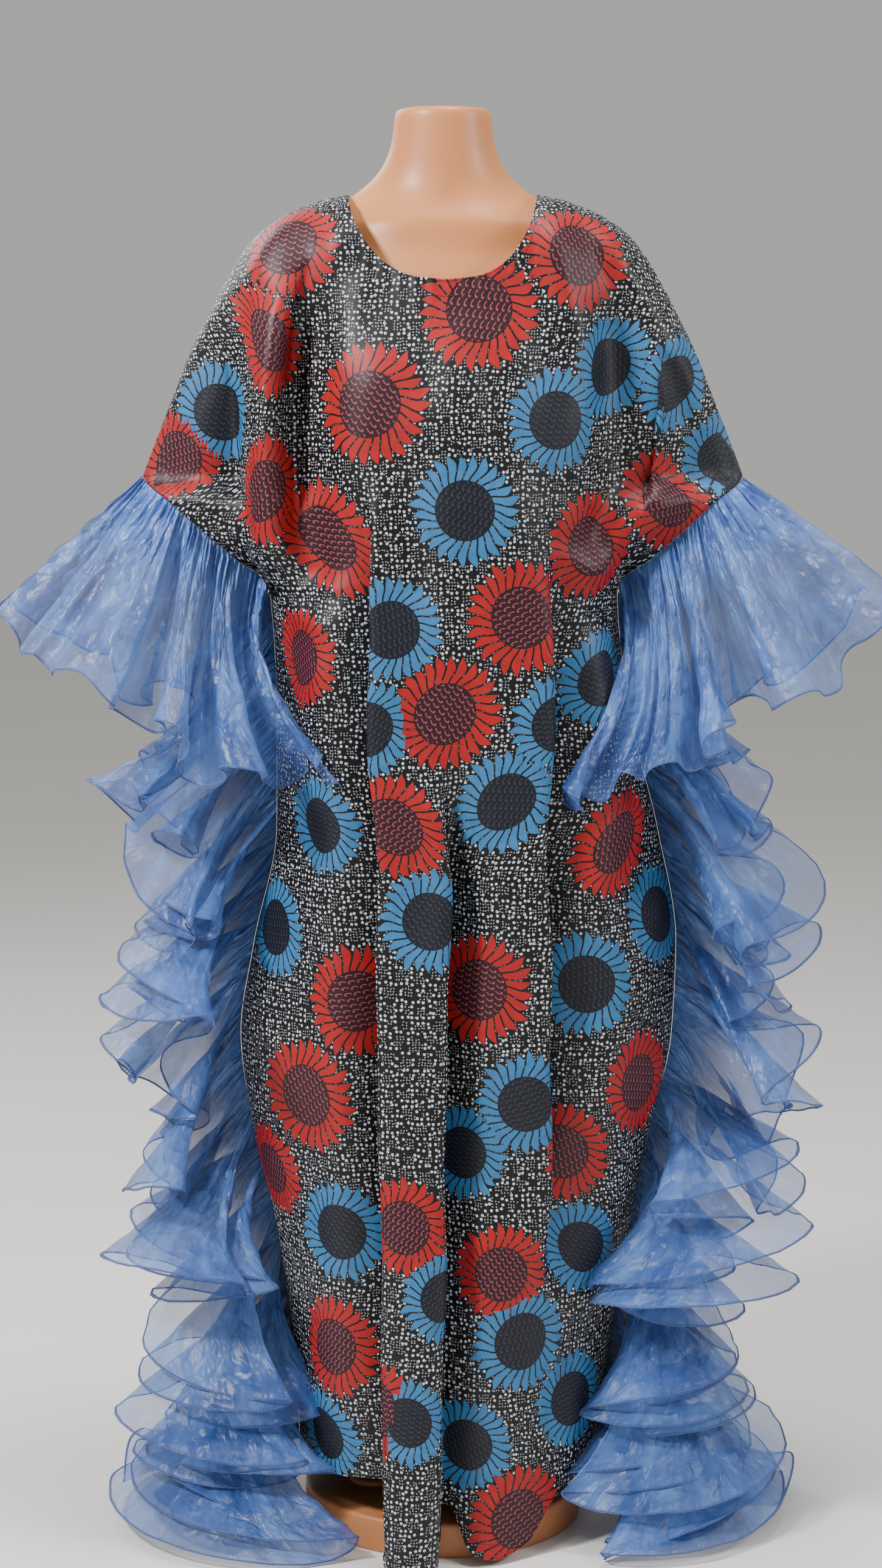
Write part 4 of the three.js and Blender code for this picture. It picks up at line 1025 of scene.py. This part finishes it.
def side_ruffle(side, fine, seed, share, behind):
    """One strip, a share as deep as the table says, with its waves so far behind the table's."""
    rows = SIDE[side]
    deep, front, back, droop = (reader(rows, "z", k) for k in ("deep", "front", "back", "droop"))
    count = (len(rows) - 1) * fine
    wave = np.linspace(0, len(rows) - 1, count + 1)
    z = np.interp(wave, np.arange(len(rows)), [row["z"] for row in rows])
    swing = np.sin(2 * math.pi * (wave + behind))
    degrees = np.where(swing > 0, front(z), back(z)) * swing
    edge = gown["right"](z) if side < 0 else gown["left"](z)
    start = np.stack([edge + side * SIDE_GAP, 0 * z, z], axis=-1)
    own = side + seed
    fall = droop(z) * (1 + FRONT_SAG * np.maximum(swing, 0)) + 9 * drift(wave, 0.9, 60 + own)
    degrees = degrees * (1 + 0.16 * drift(wave, 0.5, 66 + own)) + 12 * drift(wave, 0.7, 62 + own)
    reach = share * deep(z) * (1 + 0.07 * drift(wave, 1.3, 64 + own))
    turn, curl = np.radians(degrees * SWING_TURN), np.radians(degrees * SWING_CURL)
    points = threads_of(start, side, reach, turn, curl, np.radians(fall), SHARES)
    points = ruffle_surface(points, wave, SHARES, 20 + own, SIDE_LOBES, SIDE_GATHERS)
    points[..., 2] = np.maximum(points[..., 2], FLOOR_CLEAR)
    return points


side_points = {side: side_ruffle(side, SIDE_FINE, 0, 1.0, 0.0) for side in (-1, 1)}
inner_points = {
    side: side_ruffle(side, INNER_FINE, INNER_SEED, INNER_SHARE, INNER_BEHIND)[::2]
    for side in (-1, 1)
}
print("side ruffle grids:", side_points[1].shape[:2], inner_points[1].shape[:2])

# %% [markdown]
# ## The sleeve ruffles
#
# These hang from the sloping mouth of each sleeve, one strip round the front half and one round the
# back. At the sleeve's corner the strip points straight out, and it turns forwards and curls in as it
# comes down to the underarm, which gives the bell that spreads at the elbow.

# %% Sweep the sleeve ruffles
MOUTH_FINE = 64  # columns for each wave
HALVES_APART = 0.6  # the front and the back strip start this far from the middle
MOUTH_LOBES, MOUTH_GATHERS = [(0.9, 20.0), (2.1, 8.0)], [(6.0, 2.6), (10.0, 1.5)]
mouth = {name: reader(MOUTH, "at", name) for name in "turn curl fall deep wave".split()}


def mouth_start(side, face, at, seam):
    """Where the threads leave the gown: just outside the edge of the panel."""
    edge = panels["front" if face > 0 else "back"][2][:, 0 if side < 0 else -1]
    away = np.array((-side * seam.z, 0, side * seam.x))
    z = mix(SLEEVE_HEM, UNDERARM, at)
    start = np.stack([np.interp(-z, -edge[:, 2], edge[:, k]) for k in (0, 1)] + [z], axis=-1)
    start += away * MOUTH_GAP
    start[:, 1] = -face * np.maximum(np.abs(start[:, 1]), HALVES_APART)
    return start


def mouth_ruffle(side, face):
    turn, curl, fall, deep, high = mouth.values()
    seam = Vector((-side * MOUTH_RUN, 0, UNDERARM - SLEEVE_HEM)).normalized()
    at = np.linspace(MOUTH_FROM, MOUTH_TO, round(MOUTH_WAVES * MOUTH_FINE) + 1)
    start = mouth_start(side, face, at, seam)
    waves = at * MOUTH_WAVES
    seed = 40 + side + 2 * face
    reach = deep(at) * (1 + 0.08 * drift(waves, 0.8, seed + 30))
    slope = np.radians(fall(at) + 5 * drift(waves, 0.9, seed + 31))
    outwards, inwards = face * np.radians(turn(at)), face * np.radians(curl(at))
    points = threads_of(start, side, reach, outwards, inwards, slope, SHARES)
    lift = unit(np.cross(np.array(seam), points[-1] - points[0]))
    lift *= -np.sign(lift[:, 1:2] * face)
    swing = np.sin(2 * math.pi * MOUTH_WAVES * at + (START_BACK if face < 0 else START_FRONT))
    grow = (SHARES**WAVE_GROWTH)[:, None]
    points = points + lift[None] * (high(at) * (WAVE_REST + swing) * grow)[..., None]
    points[..., 2] += EDGE_RIPPLE * grow * np.sin(4 * math.pi * MOUTH_WAVES * at)
    return ruffle_surface(points, waves, SHARES, seed, MOUTH_LOBES, MOUTH_GATHERS)


mouth_points = {(side, face): mouth_ruffle(side, face) for side in (-1, 1) for face in (1, -1)}
print("sleeve ruffle grid:", mouth_points[(1, 1)].shape[:2])

# %% [markdown]
# ## Organza
#
# Organza is woven from very fine twisted threads, so it is stiff, lets the light through and glints
# where it creases. One layer is thin; where the ruffle doubles back on itself the blue deepens, and
# that comes for free once the material lets light past. The glints come from a crumpled bump: the
# cells of a Voronoi have sharp borders, like the sharp creases of a stiff cloth. Long streaks across
# the strip stand for the fine gathers that are too small to model: they bump the surface, and their
# darker and lighter blue is painted shade and painted light of those gathers, over a random cloudy tone.

# %% Material of the organza and its thread
SHEER = 0.47  # how much one thin layer covers
BUNCHED, BUNCHED_DOWN = 0.38, 0.13  # the gathers cover more, this far down from the seam in metres


def organza_cloth():
    bench = Bench("blue_organza")
    uv = bench.uv("cloth")
    streaks = bench.noise(bench.scaled(uv, (42, 8, 1)), 1.0, 3)
    clouds = bench.noise(uv, 12, 4)
    # Painted shade and light of the fine gathers: the streaks make the blue darker and lighter, over a random
    # cloudy tone; the same mix also sets how much the cloth covers.
    cloud_tone_and_gather_shade = bench.sum("MULTIPLY_ADD", bench.sum("SUBTRACT", streaks, 0.5), 0.6, clouds)
    cloud_tone_and_gather_shade = bench.step(cloud_tone_and_gather_shade, 0.25, 0.8)
    colour = bench.blend(cloud_tone_and_gather_shade, rgb(44, 80, 152), rgb(96, 138, 208))
    warped = bench.offset(uv, bench.noise(uv, 30, 2, out=1), 0.03)
    normal = bench.bump(streaks, 0.003, 0.5)
    normal = bench.bump(bench.cells(warped, 34.0), 0.006, 0.75, normal)
    normal = bench.bump(bench.cells(warped, 90.0), 0.0012, 0.7, normal)
    rough = bench.sum("MULTIPLY_ADD", clouds, 0.3, 0.26)
    down = bench.add("ShaderNodeSeparateXYZ", {0: uv}, out=1)
    bunched = bench.step(down, BUNCHED_DOWN, 0.0)
    veil = bench.sum("MULTIPLY_ADD", cloud_tone_and_gather_shade, 0.16, SHEER)
    veil = bench.sum("MULTIPLY_ADD", bunched, BUNCHED, veil, clamp=True)
    return bench.finish(
        Base_Color=colour, Roughness=rough, Normal=normal, Alpha=veil, Specular_IOR_Level=0.6,
        Sheen_Weight=0.3, Sheen_Roughness=0.3, Sheen_Tint=rgb(170, 200, 255),
    )


def sewing_thread(name, dark, light, rough, sheen):
    bench = Bench(name)
    where = bench.add("ShaderNodeTexCoord", out=3)
    twist = bench.noise(where, 900, 1)
    colour, normal = bench.blend(twist, dark, light), bench.bump(twist, 0.0002)
    return bench.finish(Base_Color=colour, Roughness=rough, Sheen_Weight=sheen, Normal=normal)


organza = organza_cloth()
blue_thread = sewing_thread("overlock_thread", rgb(26, 50, 108), rgb(54, 86, 152), 0.5, 0.3)
print("organza:", len(organza.node_tree.nodes), "nodes")

# %% [markdown]
# ## Every ruffle becomes a piece
#
# Each strip of points turns into one sheet of organza, named after the solid that it stands for. The
# sheets have no thickness: real organza is a tenth of a millimetre, far too thin to see from the side.

# %% Make the ruffles
NAMES = {-1: "right", 1: "left"}
ruffles = {}
for side, points in side_points.items():
    ruffles[f"side_ruffle_{NAMES[side]}"] = (points, side > 0)
for (side, face), points in mouth_points.items():
    half = "front" if face > 0 else "back"
    ruffles[f"sleeve_ruffle_{half}_{NAMES[side]}"] = (points, (side > 0) == (face > 0))
for side, points in inner_points.items():
    ruffles[f"side_ruffle_{NAMES[side]}_inner"] = (points, side > 0)
ruffle_pieces = {}
for node, (points, flip) in ruffles.items():
    piece = grid_mesh(f"{node}_cloth", points, strip_ruler(points), flip)
    piece.data.materials.append(organza)
    ruffle_pieces[node] = piece
    print(piece.name, len(piece.data.polygons), "faces,", round(cloth_area(piece), 3), "m2")

# %% [markdown]
# ## Overlocking the free edges
#
# An overlocker wraps the raw edge in thread: close stitches across it and a looper thread along it.
# There are thousands of stitches, so they are made by Geometry Nodes. A line is laid along the edge
# with one arrow at each point that says which way is across. The nodes step along the line, put a
# short thread on each step, turn it to the arrow, and sweep the looper thread beside it. The result
# is realized and kept as a plain mesh.

# %% A node tree that stitches along a line
def stitch_tree():
    tree = bpy.data.node_groups.new("stitch_along_edge", "GeometryNodeTree")
    face = tree.interface
    face.new_socket("Geometry", in_out="INPUT", socket_type="NodeSocketGeometry")
    sizes = {"Pitch": 0.003, "Stitch length": 0.003, "Thread radius": 0.0002, "Looper radius": 0.0003}
    for name, value in sizes.items():
        socket = face.new_socket(name, in_out="INPUT", socket_type="NodeSocketFloat")
        socket.default_value = value
    face.new_socket("Thread", in_out="INPUT", socket_type="NodeSocketMaterial")
    face.new_socket("Geometry", in_out="OUTPUT", socket_type="NodeSocketGeometry")
    add, link = tree.nodes.new, tree.links.new
    given, result = add("NodeGroupInput"), add("NodeGroupOutput")

    line, even = add("GeometryNodeMeshToCurve"), add("GeometryNodeResampleCurve")
    even.mode = "LENGTH"
    link(given.outputs["Geometry"], line.inputs["Mesh"])
    link(line.outputs["Curve"], even.inputs["Curve"])
    link(given.outputs["Pitch"], even.inputs["Length"])

    thread = add("GeometryNodeMeshCylinder")
    thread.inputs["Vertices"].default_value = 5
    link(given.outputs["Thread radius"], thread.inputs["Radius"])
    link(given.outputs["Stitch length"], thread.inputs["Depth"])
    arrow = add("GeometryNodeInputNamedAttribute")
    arrow.data_type = "FLOAT_VECTOR"
    arrow.inputs["Name"].default_value = "across"
    turn = add("FunctionNodeAlignRotationToVector")
    turn.axis = "Z"
    link(arrow.outputs["Attribute"], turn.inputs["Vector"])
    stitches = add("GeometryNodeInstanceOnPoints")
    link(even.outputs["Curve"], stitches.inputs["Points"])
    link(thread.outputs["Mesh"], stitches.inputs["Instance"])
    link(turn.outputs["Rotation"], stitches.inputs["Rotation"])

    circle, looper = add("GeometryNodeCurvePrimitiveCircle"), add("GeometryNodeCurveToMesh")
    circle.inputs["Resolution"].default_value = 5
    looper.inputs["Fill Caps"].default_value = True
    link(given.outputs["Looper radius"], circle.inputs["Radius"])
    link(even.outputs["Curve"], looper.inputs["Curve"])
    link(circle.outputs["Curve"], looper.inputs["Profile Curve"])

    join, real = add("GeometryNodeJoinGeometry"), add("GeometryNodeRealizeInstances")
    paint = add("GeometryNodeSetMaterial")
    link(stitches.outputs["Instances"], join.inputs["Geometry"])
    link(looper.outputs["Mesh"], join.inputs["Geometry"])
    link(join.outputs["Geometry"], real.inputs["Geometry"])
    link(real.outputs["Geometry"], paint.inputs["Geometry"])
    link(given.outputs["Thread"], paint.inputs["Material"])
    link(paint.outputs["Geometry"], result.inputs["Geometry"])
    return tree


STITCHING = stitch_tree()


def stitch_along(name, points, across, pitch, length, radius, looper, material):
    """points are in millimetres and across are arrows; the sizes are millimetres too."""
    mesh = bpy.data.meshes.new(name)
    mesh.from_pydata((points * MM).tolist(), [(i, i + 1) for i in range(len(points) - 1)], [])
    arrows = mesh.attributes.new("across", "FLOAT_VECTOR", "POINT")
    arrows.data.foreach_set("vector", across.astype(np.float32).ravel())
    line = put(name + "_line", mesh)
    modifier = line.modifiers.new("stitches", "NODES")
    modifier.node_group = STITCHING
    sizes = {"Pitch": pitch, "Stitch length": length, "Thread radius": radius, "Looper radius": looper}
    values = {"Thread": material, **{title: size * MM for title, size in sizes.items()}}
    for item in STITCHING.interface.items_tree:
        if item.item_type == "SOCKET" and item.in_out == "INPUT" and item.name in values:
            modifier[item.identifier] = values[item.name]
    evaluated = line.evaluated_get(bpy.context.evaluated_depsgraph_get())
    plain = bpy.data.meshes.new_from_object(evaluated)
    plain.name = name
    bpy.data.objects.remove(line)
    return put(name, plain)


print("stitching tree:", len(STITCHING.nodes), "nodes")

# %% [markdown]
# ## Sewing
#
# Blue overlock thread binds the free edge of every ruffle, a little in from the raw edge and slanted,
# as the machine lays it. A line of plain dark stitches holds the neck and another the hem, seen as
# short dashes. Stitches could be drawn in the material, but thread has thickness that catches the
# light, so one tree makes them all, with other sizes for each kind of stitch.

# %% Stitch the ruffles, the neck and the hem
dark_thread = sewing_thread("black_thread", rgb(22, 22, 26), rgb(58, 58, 66), 0.55, 0.0)
OVERLOCK = dict(pitch=3.4, length=3.8, radius=0.42, looper=0.75, material=blue_thread)
RUNNING = dict(pitch=3.6, length=2.5, radius=0.28, looper=0.05, material=dark_thread)
OVERLOCK_IN, OVERLOCK_SLANT = 1.4, 0.45
NECK_ROW, HEM_ROW, PROUD = 6, -4, 0.25  # rows of the panel's grid; the thread lies this far proud
stitched = {}
for node, (points, _) in ruffles.items():
    across = unit(points[-1] - points[-2])
    slanted = unit(across + OVERLOCK_SLANT * unit(np.gradient(points[-1], axis=0)))
    line = points[-1] - across * OVERLOCK_IN
    stitched[node] = stitch_along(f"{node}_overlock", line, slanted, **OVERLOCK)
    print(stitched[node].name, len(stitched[node].data.polygons), "faces")

seams = {}
for side in ("front", "back"):
    xs, _, points = panels[side]
    out = np.array((0, -1.0 if side == "front" else 1.0, 0))
    neck = np.where(np.abs(xs[0]) <= NECK_HALF_WIDTH - 2)[0]
    hem = np.arange(2, xs.shape[1] - 2)
    for label, row, columns in (("neck", NECK_ROW, neck), ("hem", HEM_ROW, hem)):
        line = points[row, columns] + out * PROUD
        run = unit(np.gradient(line, axis=0))
        seams[(side, label)] = stitch_along(f"{label}_stitches_{side}", line, run, **RUNNING)
print("seams:", {key: len(piece.data.polygons) for key, piece in seams.items()})

# %% [markdown]
# ## The dress form
#
# The form is a hollow moulded bust of pale plastic, with no arms and a short capped neck. The frame's
# solid has thirty sides, which is plenty to carry cloth but shows corners on the bare neck. So it is
# lofted again from the same sections, with a fair curve through them and many more sides. A flat face
# closes each end.

# %% Loft the form
COTTON, FORM_SEAT = 1.6, 1.35  # the solid gown's wall, and how far under it the shoulders lie
BARE_HALF = 97  # the neckline leaves the form bare this far to each side
RING_STEP, FORM_SIDES, SMOOTHINGS = 5, 144, 90
FORM = table(
    "z half front back power",
    (690, 72, 44, 44, 2.1), (700, 96, 60, 60, 2.1), (760, 138, 88, 92, 2.1), (830, 158, 101, 108, 2.1),
    (900, 163, 106, 112, 2.1), (980, 146, 99, 98, 2.1), (1060, 124, 92, 80, 2.1), (1130, 130, 104, 82, 2.1),
    (1200, 148, 119, 88, 2.1), (1250, 158, 115, 92, 2.1), (1300, 168, 104, 93, 2.1),
    (1350, 181, 90, 86, 1.95), (1384, 183, 76, 75, 1.6),
)
FORM_NECK = table(
    "z half front back power",
    (1449, 74, 54.5, 54.5, 1.5), (1458, 59, 52.5, 52.5, 1.9), (1472, 51.5, 51.5, 51.5, 2),
    (1521, 51, 51, 51, 2), (1528, 48.6, 48.6, 48.6, 2), (1530, 44, 44, 44, 2),
)
FORM_SHOULDER = []
for half in (179, 172, 162, 148, 128, 110, 94):
    outward = float(clamp01((half - 128) / 50))
    z = float(arm_line(half)) - COTTON - FORM_SEAT - 1.6 * float(ease(outward))
    depth = mix(56, 70, outward)
    FORM_SHOULDER.append(dict(z=z, half=half, front=depth, back=depth, power=mix(1.12, 1.45, outward)))


def lofted(name, rings, capped):
    """A closed skin over rings of points in metres. A ring of one point closes an end by itself."""
    build = bmesh.new()
    sides = max(len(ring) for ring in rings)
    loops = []
    for ring in rings:
        corners = [build.verts.new(point) for point in ring]
        loops.append(corners * (sides // len(corners)))
    for low, high in zip(loops, loops[1:]):
        for i in range(sides):
            j = (i + 1) % sides
            build.faces.new(list(dict.fromkeys((low[i], low[j], high[j], high[i]))))
    if capped:
        build.faces.new(loops[0][::-1])
        build.faces.new(loops[-1])
    bmesh.ops.remove_doubles(build, verts=build.verts, dist=TINY)
    bmesh.ops.recalc_face_normals(build, faces=build.faces)
    mesh = bpy.data.meshes.new(name)
    build.to_mesh(mesh)
    build.free()
    return put(name, mesh)


def form_body():
    rows = FORM + FORM_SHOULDER + FORM_NECK
    travel = [0.0]
    for before, after in zip(rows, rows[1:]):
        travel.append(travel[-1] + math.hypot(after["z"] - before["z"], after["half"] - before["half"]))
    for row, at in zip(rows, travel):
        row["at"] = at
    spans = [
        np.linspace(a, b, max(2, round((b - a) / RING_STEP)) + 1)[:-1]
        for a, b in zip(travel, travel[1:])
    ]
    at = np.concatenate([*spans, travel[-1:]])
    names = ("z", "half", "front", "back", "power")
    z, half, front, back, power = (reader(rows, "at", name)(at)[:, None] for name in names)
    turn = np.linspace(0, 2 * math.pi, FORM_SIDES + 1)[None, :-1]
    c, s = np.cos(turn), np.sin(turn)
    x = half * np.sign(c) * np.abs(c) ** (2 / power)
    depth = np.where(s < 0, front, back)
    y = depth * np.abs(s) ** (2 / power)
    chest = clamp01(1 - (x / BARE_HALF) ** 2) ** 2 * ease((z - 1350) / 60) * ease((half - 70) / 40)
    y = np.sign(s) * (y + (depth - y) * chest)
    rings = np.stack([x, y, np.broadcast_to(z, x.shape)], axis=-1)
    bare = ease((at - travel[-len(FORM_NECK) - 5]) / 30) * ease((travel[-1] - 12 - at) / 6)
    bare = (bare[:, None] * ease((BARE_HALF - np.abs(x)) / 18))[1:-1, :, None]
    for _ in range(SMOOTHINGS):
        rings[1:-1] += bare * (rings[:-2] + rings[2:] - 2 * rings[1:-1]) / 4
    piece = lofted("form_body", rings * MM, True)
    smooth(piece.data)
    return piece


form = form_body()
print("form:", len(form.data.polygons), "faces")

# %% [markdown]
# ## The base
#
# The base is a low turned disc with a rounded boss moulded on its top. The disc is a profile spun
# round the middle, and the boss is a rounded slab with a bevelled rim, joined on with a boolean, which
# leaves one closed skin as the mould did.

# %% Turn the base and join the boss
BASE_RADIUS, BASE_HEIGHT, BASE_DOME, BASE_RIM, BASE_FOOT = 153, 38, 6, 5, 3
BOSS = dict(x=-76, front=-52, back=34, half=27, top=47, edge=4, root=20)
BASE_SIDES, BOSS_STEPS = 160, 24  # the boss has so many steps in each of its two round ends
SHARP = 38  # edges that turn by more degrees than this stay crisp


def spun_mesh(name, profile, sides):
    turns = [2 * math.pi * i / sides for i in range(sides)]
    rings = []
    for radius, z in profile:
        ring = turns if radius else turns[:1]
        rings.append([(radius * MM * math.cos(t), radius * MM * math.sin(t), z * MM) for t in ring])
    return lofted(name, rings, False)


def rounded(radius, z, size, start, end, steps=6):
    turns = [math.radians(mix(start, end, i / steps)) for i in range(steps + 1)]
    return [(radius + size * math.cos(t), z + size * math.sin(t)) for t in turns]


profile = [(0, 0)] + rounded(BASE_RADIUS - BASE_FOOT, BASE_FOOT, BASE_FOOT, -90, 0)
profile += rounded(BASE_RADIUS - BASE_RIM, BASE_HEIGHT - BASE_RIM, BASE_RIM, 0, 90)
for share in (0.85, 0.7, 0.5, 0.3, 0.15):
    fall = (BASE_RADIUS * share / (BASE_RADIUS - BASE_RIM)) ** 2
    profile.append((BASE_RADIUS * share, BASE_HEIGHT + BASE_DOME * (1 - fall)))
profile.append((0, BASE_HEIGHT + BASE_DOME))
base = spun_mesh("base_disc", profile, BASE_SIDES)


def boss_piece():
    outline = []
    for centre, start in ((BOSS["back"], 0), (BOSS["front"] + BOSS["half"], 180)):
        for i in range(BOSS_STEPS + 1):
            turn = math.radians(start + 180 * i / BOSS_STEPS)
            outline.append((math.cos(turn), math.sin(turn), centre))
    levels = [(BOSS["half"], BOSS["root"])]
    for turn in (math.radians(degrees) for degrees in (0, 18, 36, 54, 72, 90)):
        inwards, down = 1 - math.cos(turn), 1 - math.sin(turn)
        levels.append((BOSS["half"] - BOSS["edge"] * inwards, BOSS["top"] - BOSS["edge"] * down))
    rings = [
        [((BOSS["x"] + r * c) * MM, (centre + r * s) * MM, z * MM) for c, s, centre in outline]
        for r, z in levels
    ]
    return lofted("boss", rings, True)


boss = boss_piece()
union = base.modifiers.new("boss", "BOOLEAN")
union.operation, union.solver, union.object = "UNION", "EXACT", boss
joined = bpy.data.meshes.new_from_object(base.evaluated_get(bpy.context.evaluated_depsgraph_get()))
base.modifiers.clear()
base.data = joined
bpy.data.objects.remove(boss)
smooth(base.data)
base.data.set_sharp_from_angle(angle=math.radians(SHARP))
print("base:", len(base.data.polygons), "faces")

# %% [markdown]
# ## Moulded plastic and steel
#
# The form's plastic is pale flesh-coloured, satin, with a faint cloudiness from the mould. The base is
# the same plastic, scuffed duller by feet and shoes. The post is brushed steel tube.

# %% Materials of the form
def plastic(name, light, dark, rough):
    bench = Bench(name)
    where = bench.add("ShaderNodeTexCoord", out=3)
    cloudy = bench.noise(where, 7, 3)
    speck = bench.noise(where, 420, 2)
    colour = bench.blend(bench.step(cloudy, 0.3, 0.7), dark, light)
    roughness = bench.sum("MULTIPLY_ADD", cloudy, 0.14, rough)
    return bench.finish(
        Base_Color=colour, Roughness=roughness, Normal=bench.bump(speck, 0.00006, 0.4),
        Coat_Weight=0.08, Coat_Roughness=0.3, Specular_IOR_Level=0.4,
    )


def brushed_steel():
    bench = Bench("post_steel")
    where = bench.add("ShaderNodeTexCoord", out=3)
    brushed = bench.noise(bench.scaled(where, (400, 400, 6)), 1.0, 3)
    roughness = bench.sum("MULTIPLY_ADD", brushed, 0.25, 0.2)
    colour = bench.blend(brushed, rgb(150, 152, 156), rgb(196, 198, 202))
    normal = bench.bump(brushed, 0.0001, 0.3)
    return bench.finish(Base_Color=colour, Metallic=1.0, Roughness=roughness, Normal=normal)


skin = plastic("form_plastic", rgb(202, 132, 82), rgb(190, 120, 72), 0.38)
foot = plastic("base_plastic", rgb(192, 128, 84), rgb(176, 113, 70), 0.4)
form.data.materials.append(skin)
base.data.materials.clear()
base.data.materials.append(foot)
post = bpy.data.objects["form_post"]
post.data.materials.clear()
post.data.materials.append(brushed_steel())
print("materials:", len(bpy.data.materials))

# %% [markdown]
# ## Telling the frame what each piece is
#
# Every piece rides on the one body of this part. The pieces that stand for a solid hide it. The
# gown's panels are shaped pieces, and the ruffles are straight strips, far longer than the seams
# that they are gathered into.

# %% Ride and replace
for side in ("front", "back"):
    piece = gown_pieces[side]
    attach(piece, "root")
    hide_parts(f"gown_{side}")
for piece in edges:
    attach(piece, "root")
for node, piece in ruffle_pieces.items():
    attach(piece, "root")
    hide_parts(node.removesuffix("_inner"))
for piece in stitched.values():
    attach(piece, "root")
for piece in seams.values():
    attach(piece, "root")
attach(form, "root")
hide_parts("form_torso")
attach(base, "root")
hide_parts("form_base")

# The trims of each panel and the panel under each ruffle are gathered; nothing more is done with them.
for side in ("front", "back"):
    piece = gown_pieces[side]
    trims = [edge for edge in edges if edge.name.endswith(side)]
    trims += [seams[(side, "neck")], seams[(side, "hem")]]
for node, piece in ruffle_pieces.items():
    rests = [gown_pieces["back" if "back" in node else "front"]]
print("sheets:", len(gown_pieces) + len(ruffle_pieces))

# %% [markdown]
# ## Floor, light and camera
#
# The gown stands on a plain pale floor under soft studio light: a strong lamp from the front and one
# side, a gentler one from the other side, one from behind and one from above, and a pale sky that
# keeps the shadows open. The camera stands three metres away at chest height and looks slightly down.

# %% Set the stage
FLOOR_HALF = 14  # in metres, like every length in this cell
AIM = Vector((0, 0, 0.9))
SKY = 0.56
EYE, LOOKING_DOWN = (-0.002, -3.17, 1.244), 7.71  # the tilt in degrees
LENS, SENSOR_HIGH = 67.8, 36.0  # in millimetres

floor_mesh = bpy.data.meshes.new("floor")
corners = [(x * FLOOR_HALF, y * FLOOR_HALF, 0) for x, y in ((-1, -1), (1, -1), (1, 1), (-1, 1))]
floor_mesh.from_pydata(corners, [], [(0, 1, 2, 3)])
floor = put("floor", floor_mesh)
bench = Bench("pale_floor")
cloud = bench.noise(bench.add("ShaderNodeTexCoord", out=3), 1.3, 3)
pale = bench.blend(cloud, rgb(226, 224, 220), rgb(236, 234, 230))
floor_mesh.materials.append(bench.finish(Base_Color=pale, Roughness=0.55))
floor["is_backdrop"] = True

world = bpy.data.worlds.new("studio")
bpy.context.scene.world = world
world.use_nodes = True
sky = world.node_tree.nodes["Background"].inputs
sky[0].default_value = rgb(232, 231, 228)
sky[1].default_value = SKY


def soft_lamp(name, place_at, size, power):
    lamp = put(name, bpy.data.lights.new(name, "AREA"))
    lamp.data.shape, lamp.data.size, lamp.data.energy = "DISK", size, power
    lamp.location = place_at
    lamp.rotation_euler = (AIM - Vector(place_at)).to_track_quat("-Z", "Y").to_euler()


soft_lamp("key", (-1.9, -1.5, 2.8), 0.5, 135)
soft_lamp("fill", (2.6, -0.9, 2.2), 0.8, 44)
soft_lamp("rim", (-1.6, 2.2, 2.6), 1.4, 34)
soft_lamp("top", (0.3, -0.3, 3.6), 0.8, 60)

camera = put("camera", bpy.data.cameras.new("camera"))
camera.data.sensor_fit = "VERTICAL"
camera.data.sensor_height = SENSOR_HIGH
camera.data.lens = LENS
camera.location = EYE
camera.rotation_euler = (math.radians(90 - LOOKING_DOWN), 0, 0)
bpy.context.scene.camera = camera
print("stage: floor, sky,", len(bpy.data.lights), "lamps and a camera")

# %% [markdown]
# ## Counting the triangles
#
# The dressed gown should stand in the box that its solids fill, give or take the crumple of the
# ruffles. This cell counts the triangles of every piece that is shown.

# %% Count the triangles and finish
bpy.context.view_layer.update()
triangles = {}
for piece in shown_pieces():
    if piece.type == "MESH":
        triangles[piece.name] = sum(len(face.vertices) - 2 for face in piece.data.polygons)
print("triangles:", sum(triangles.values()), "largest piece", max(triangles, key=triangles.get))
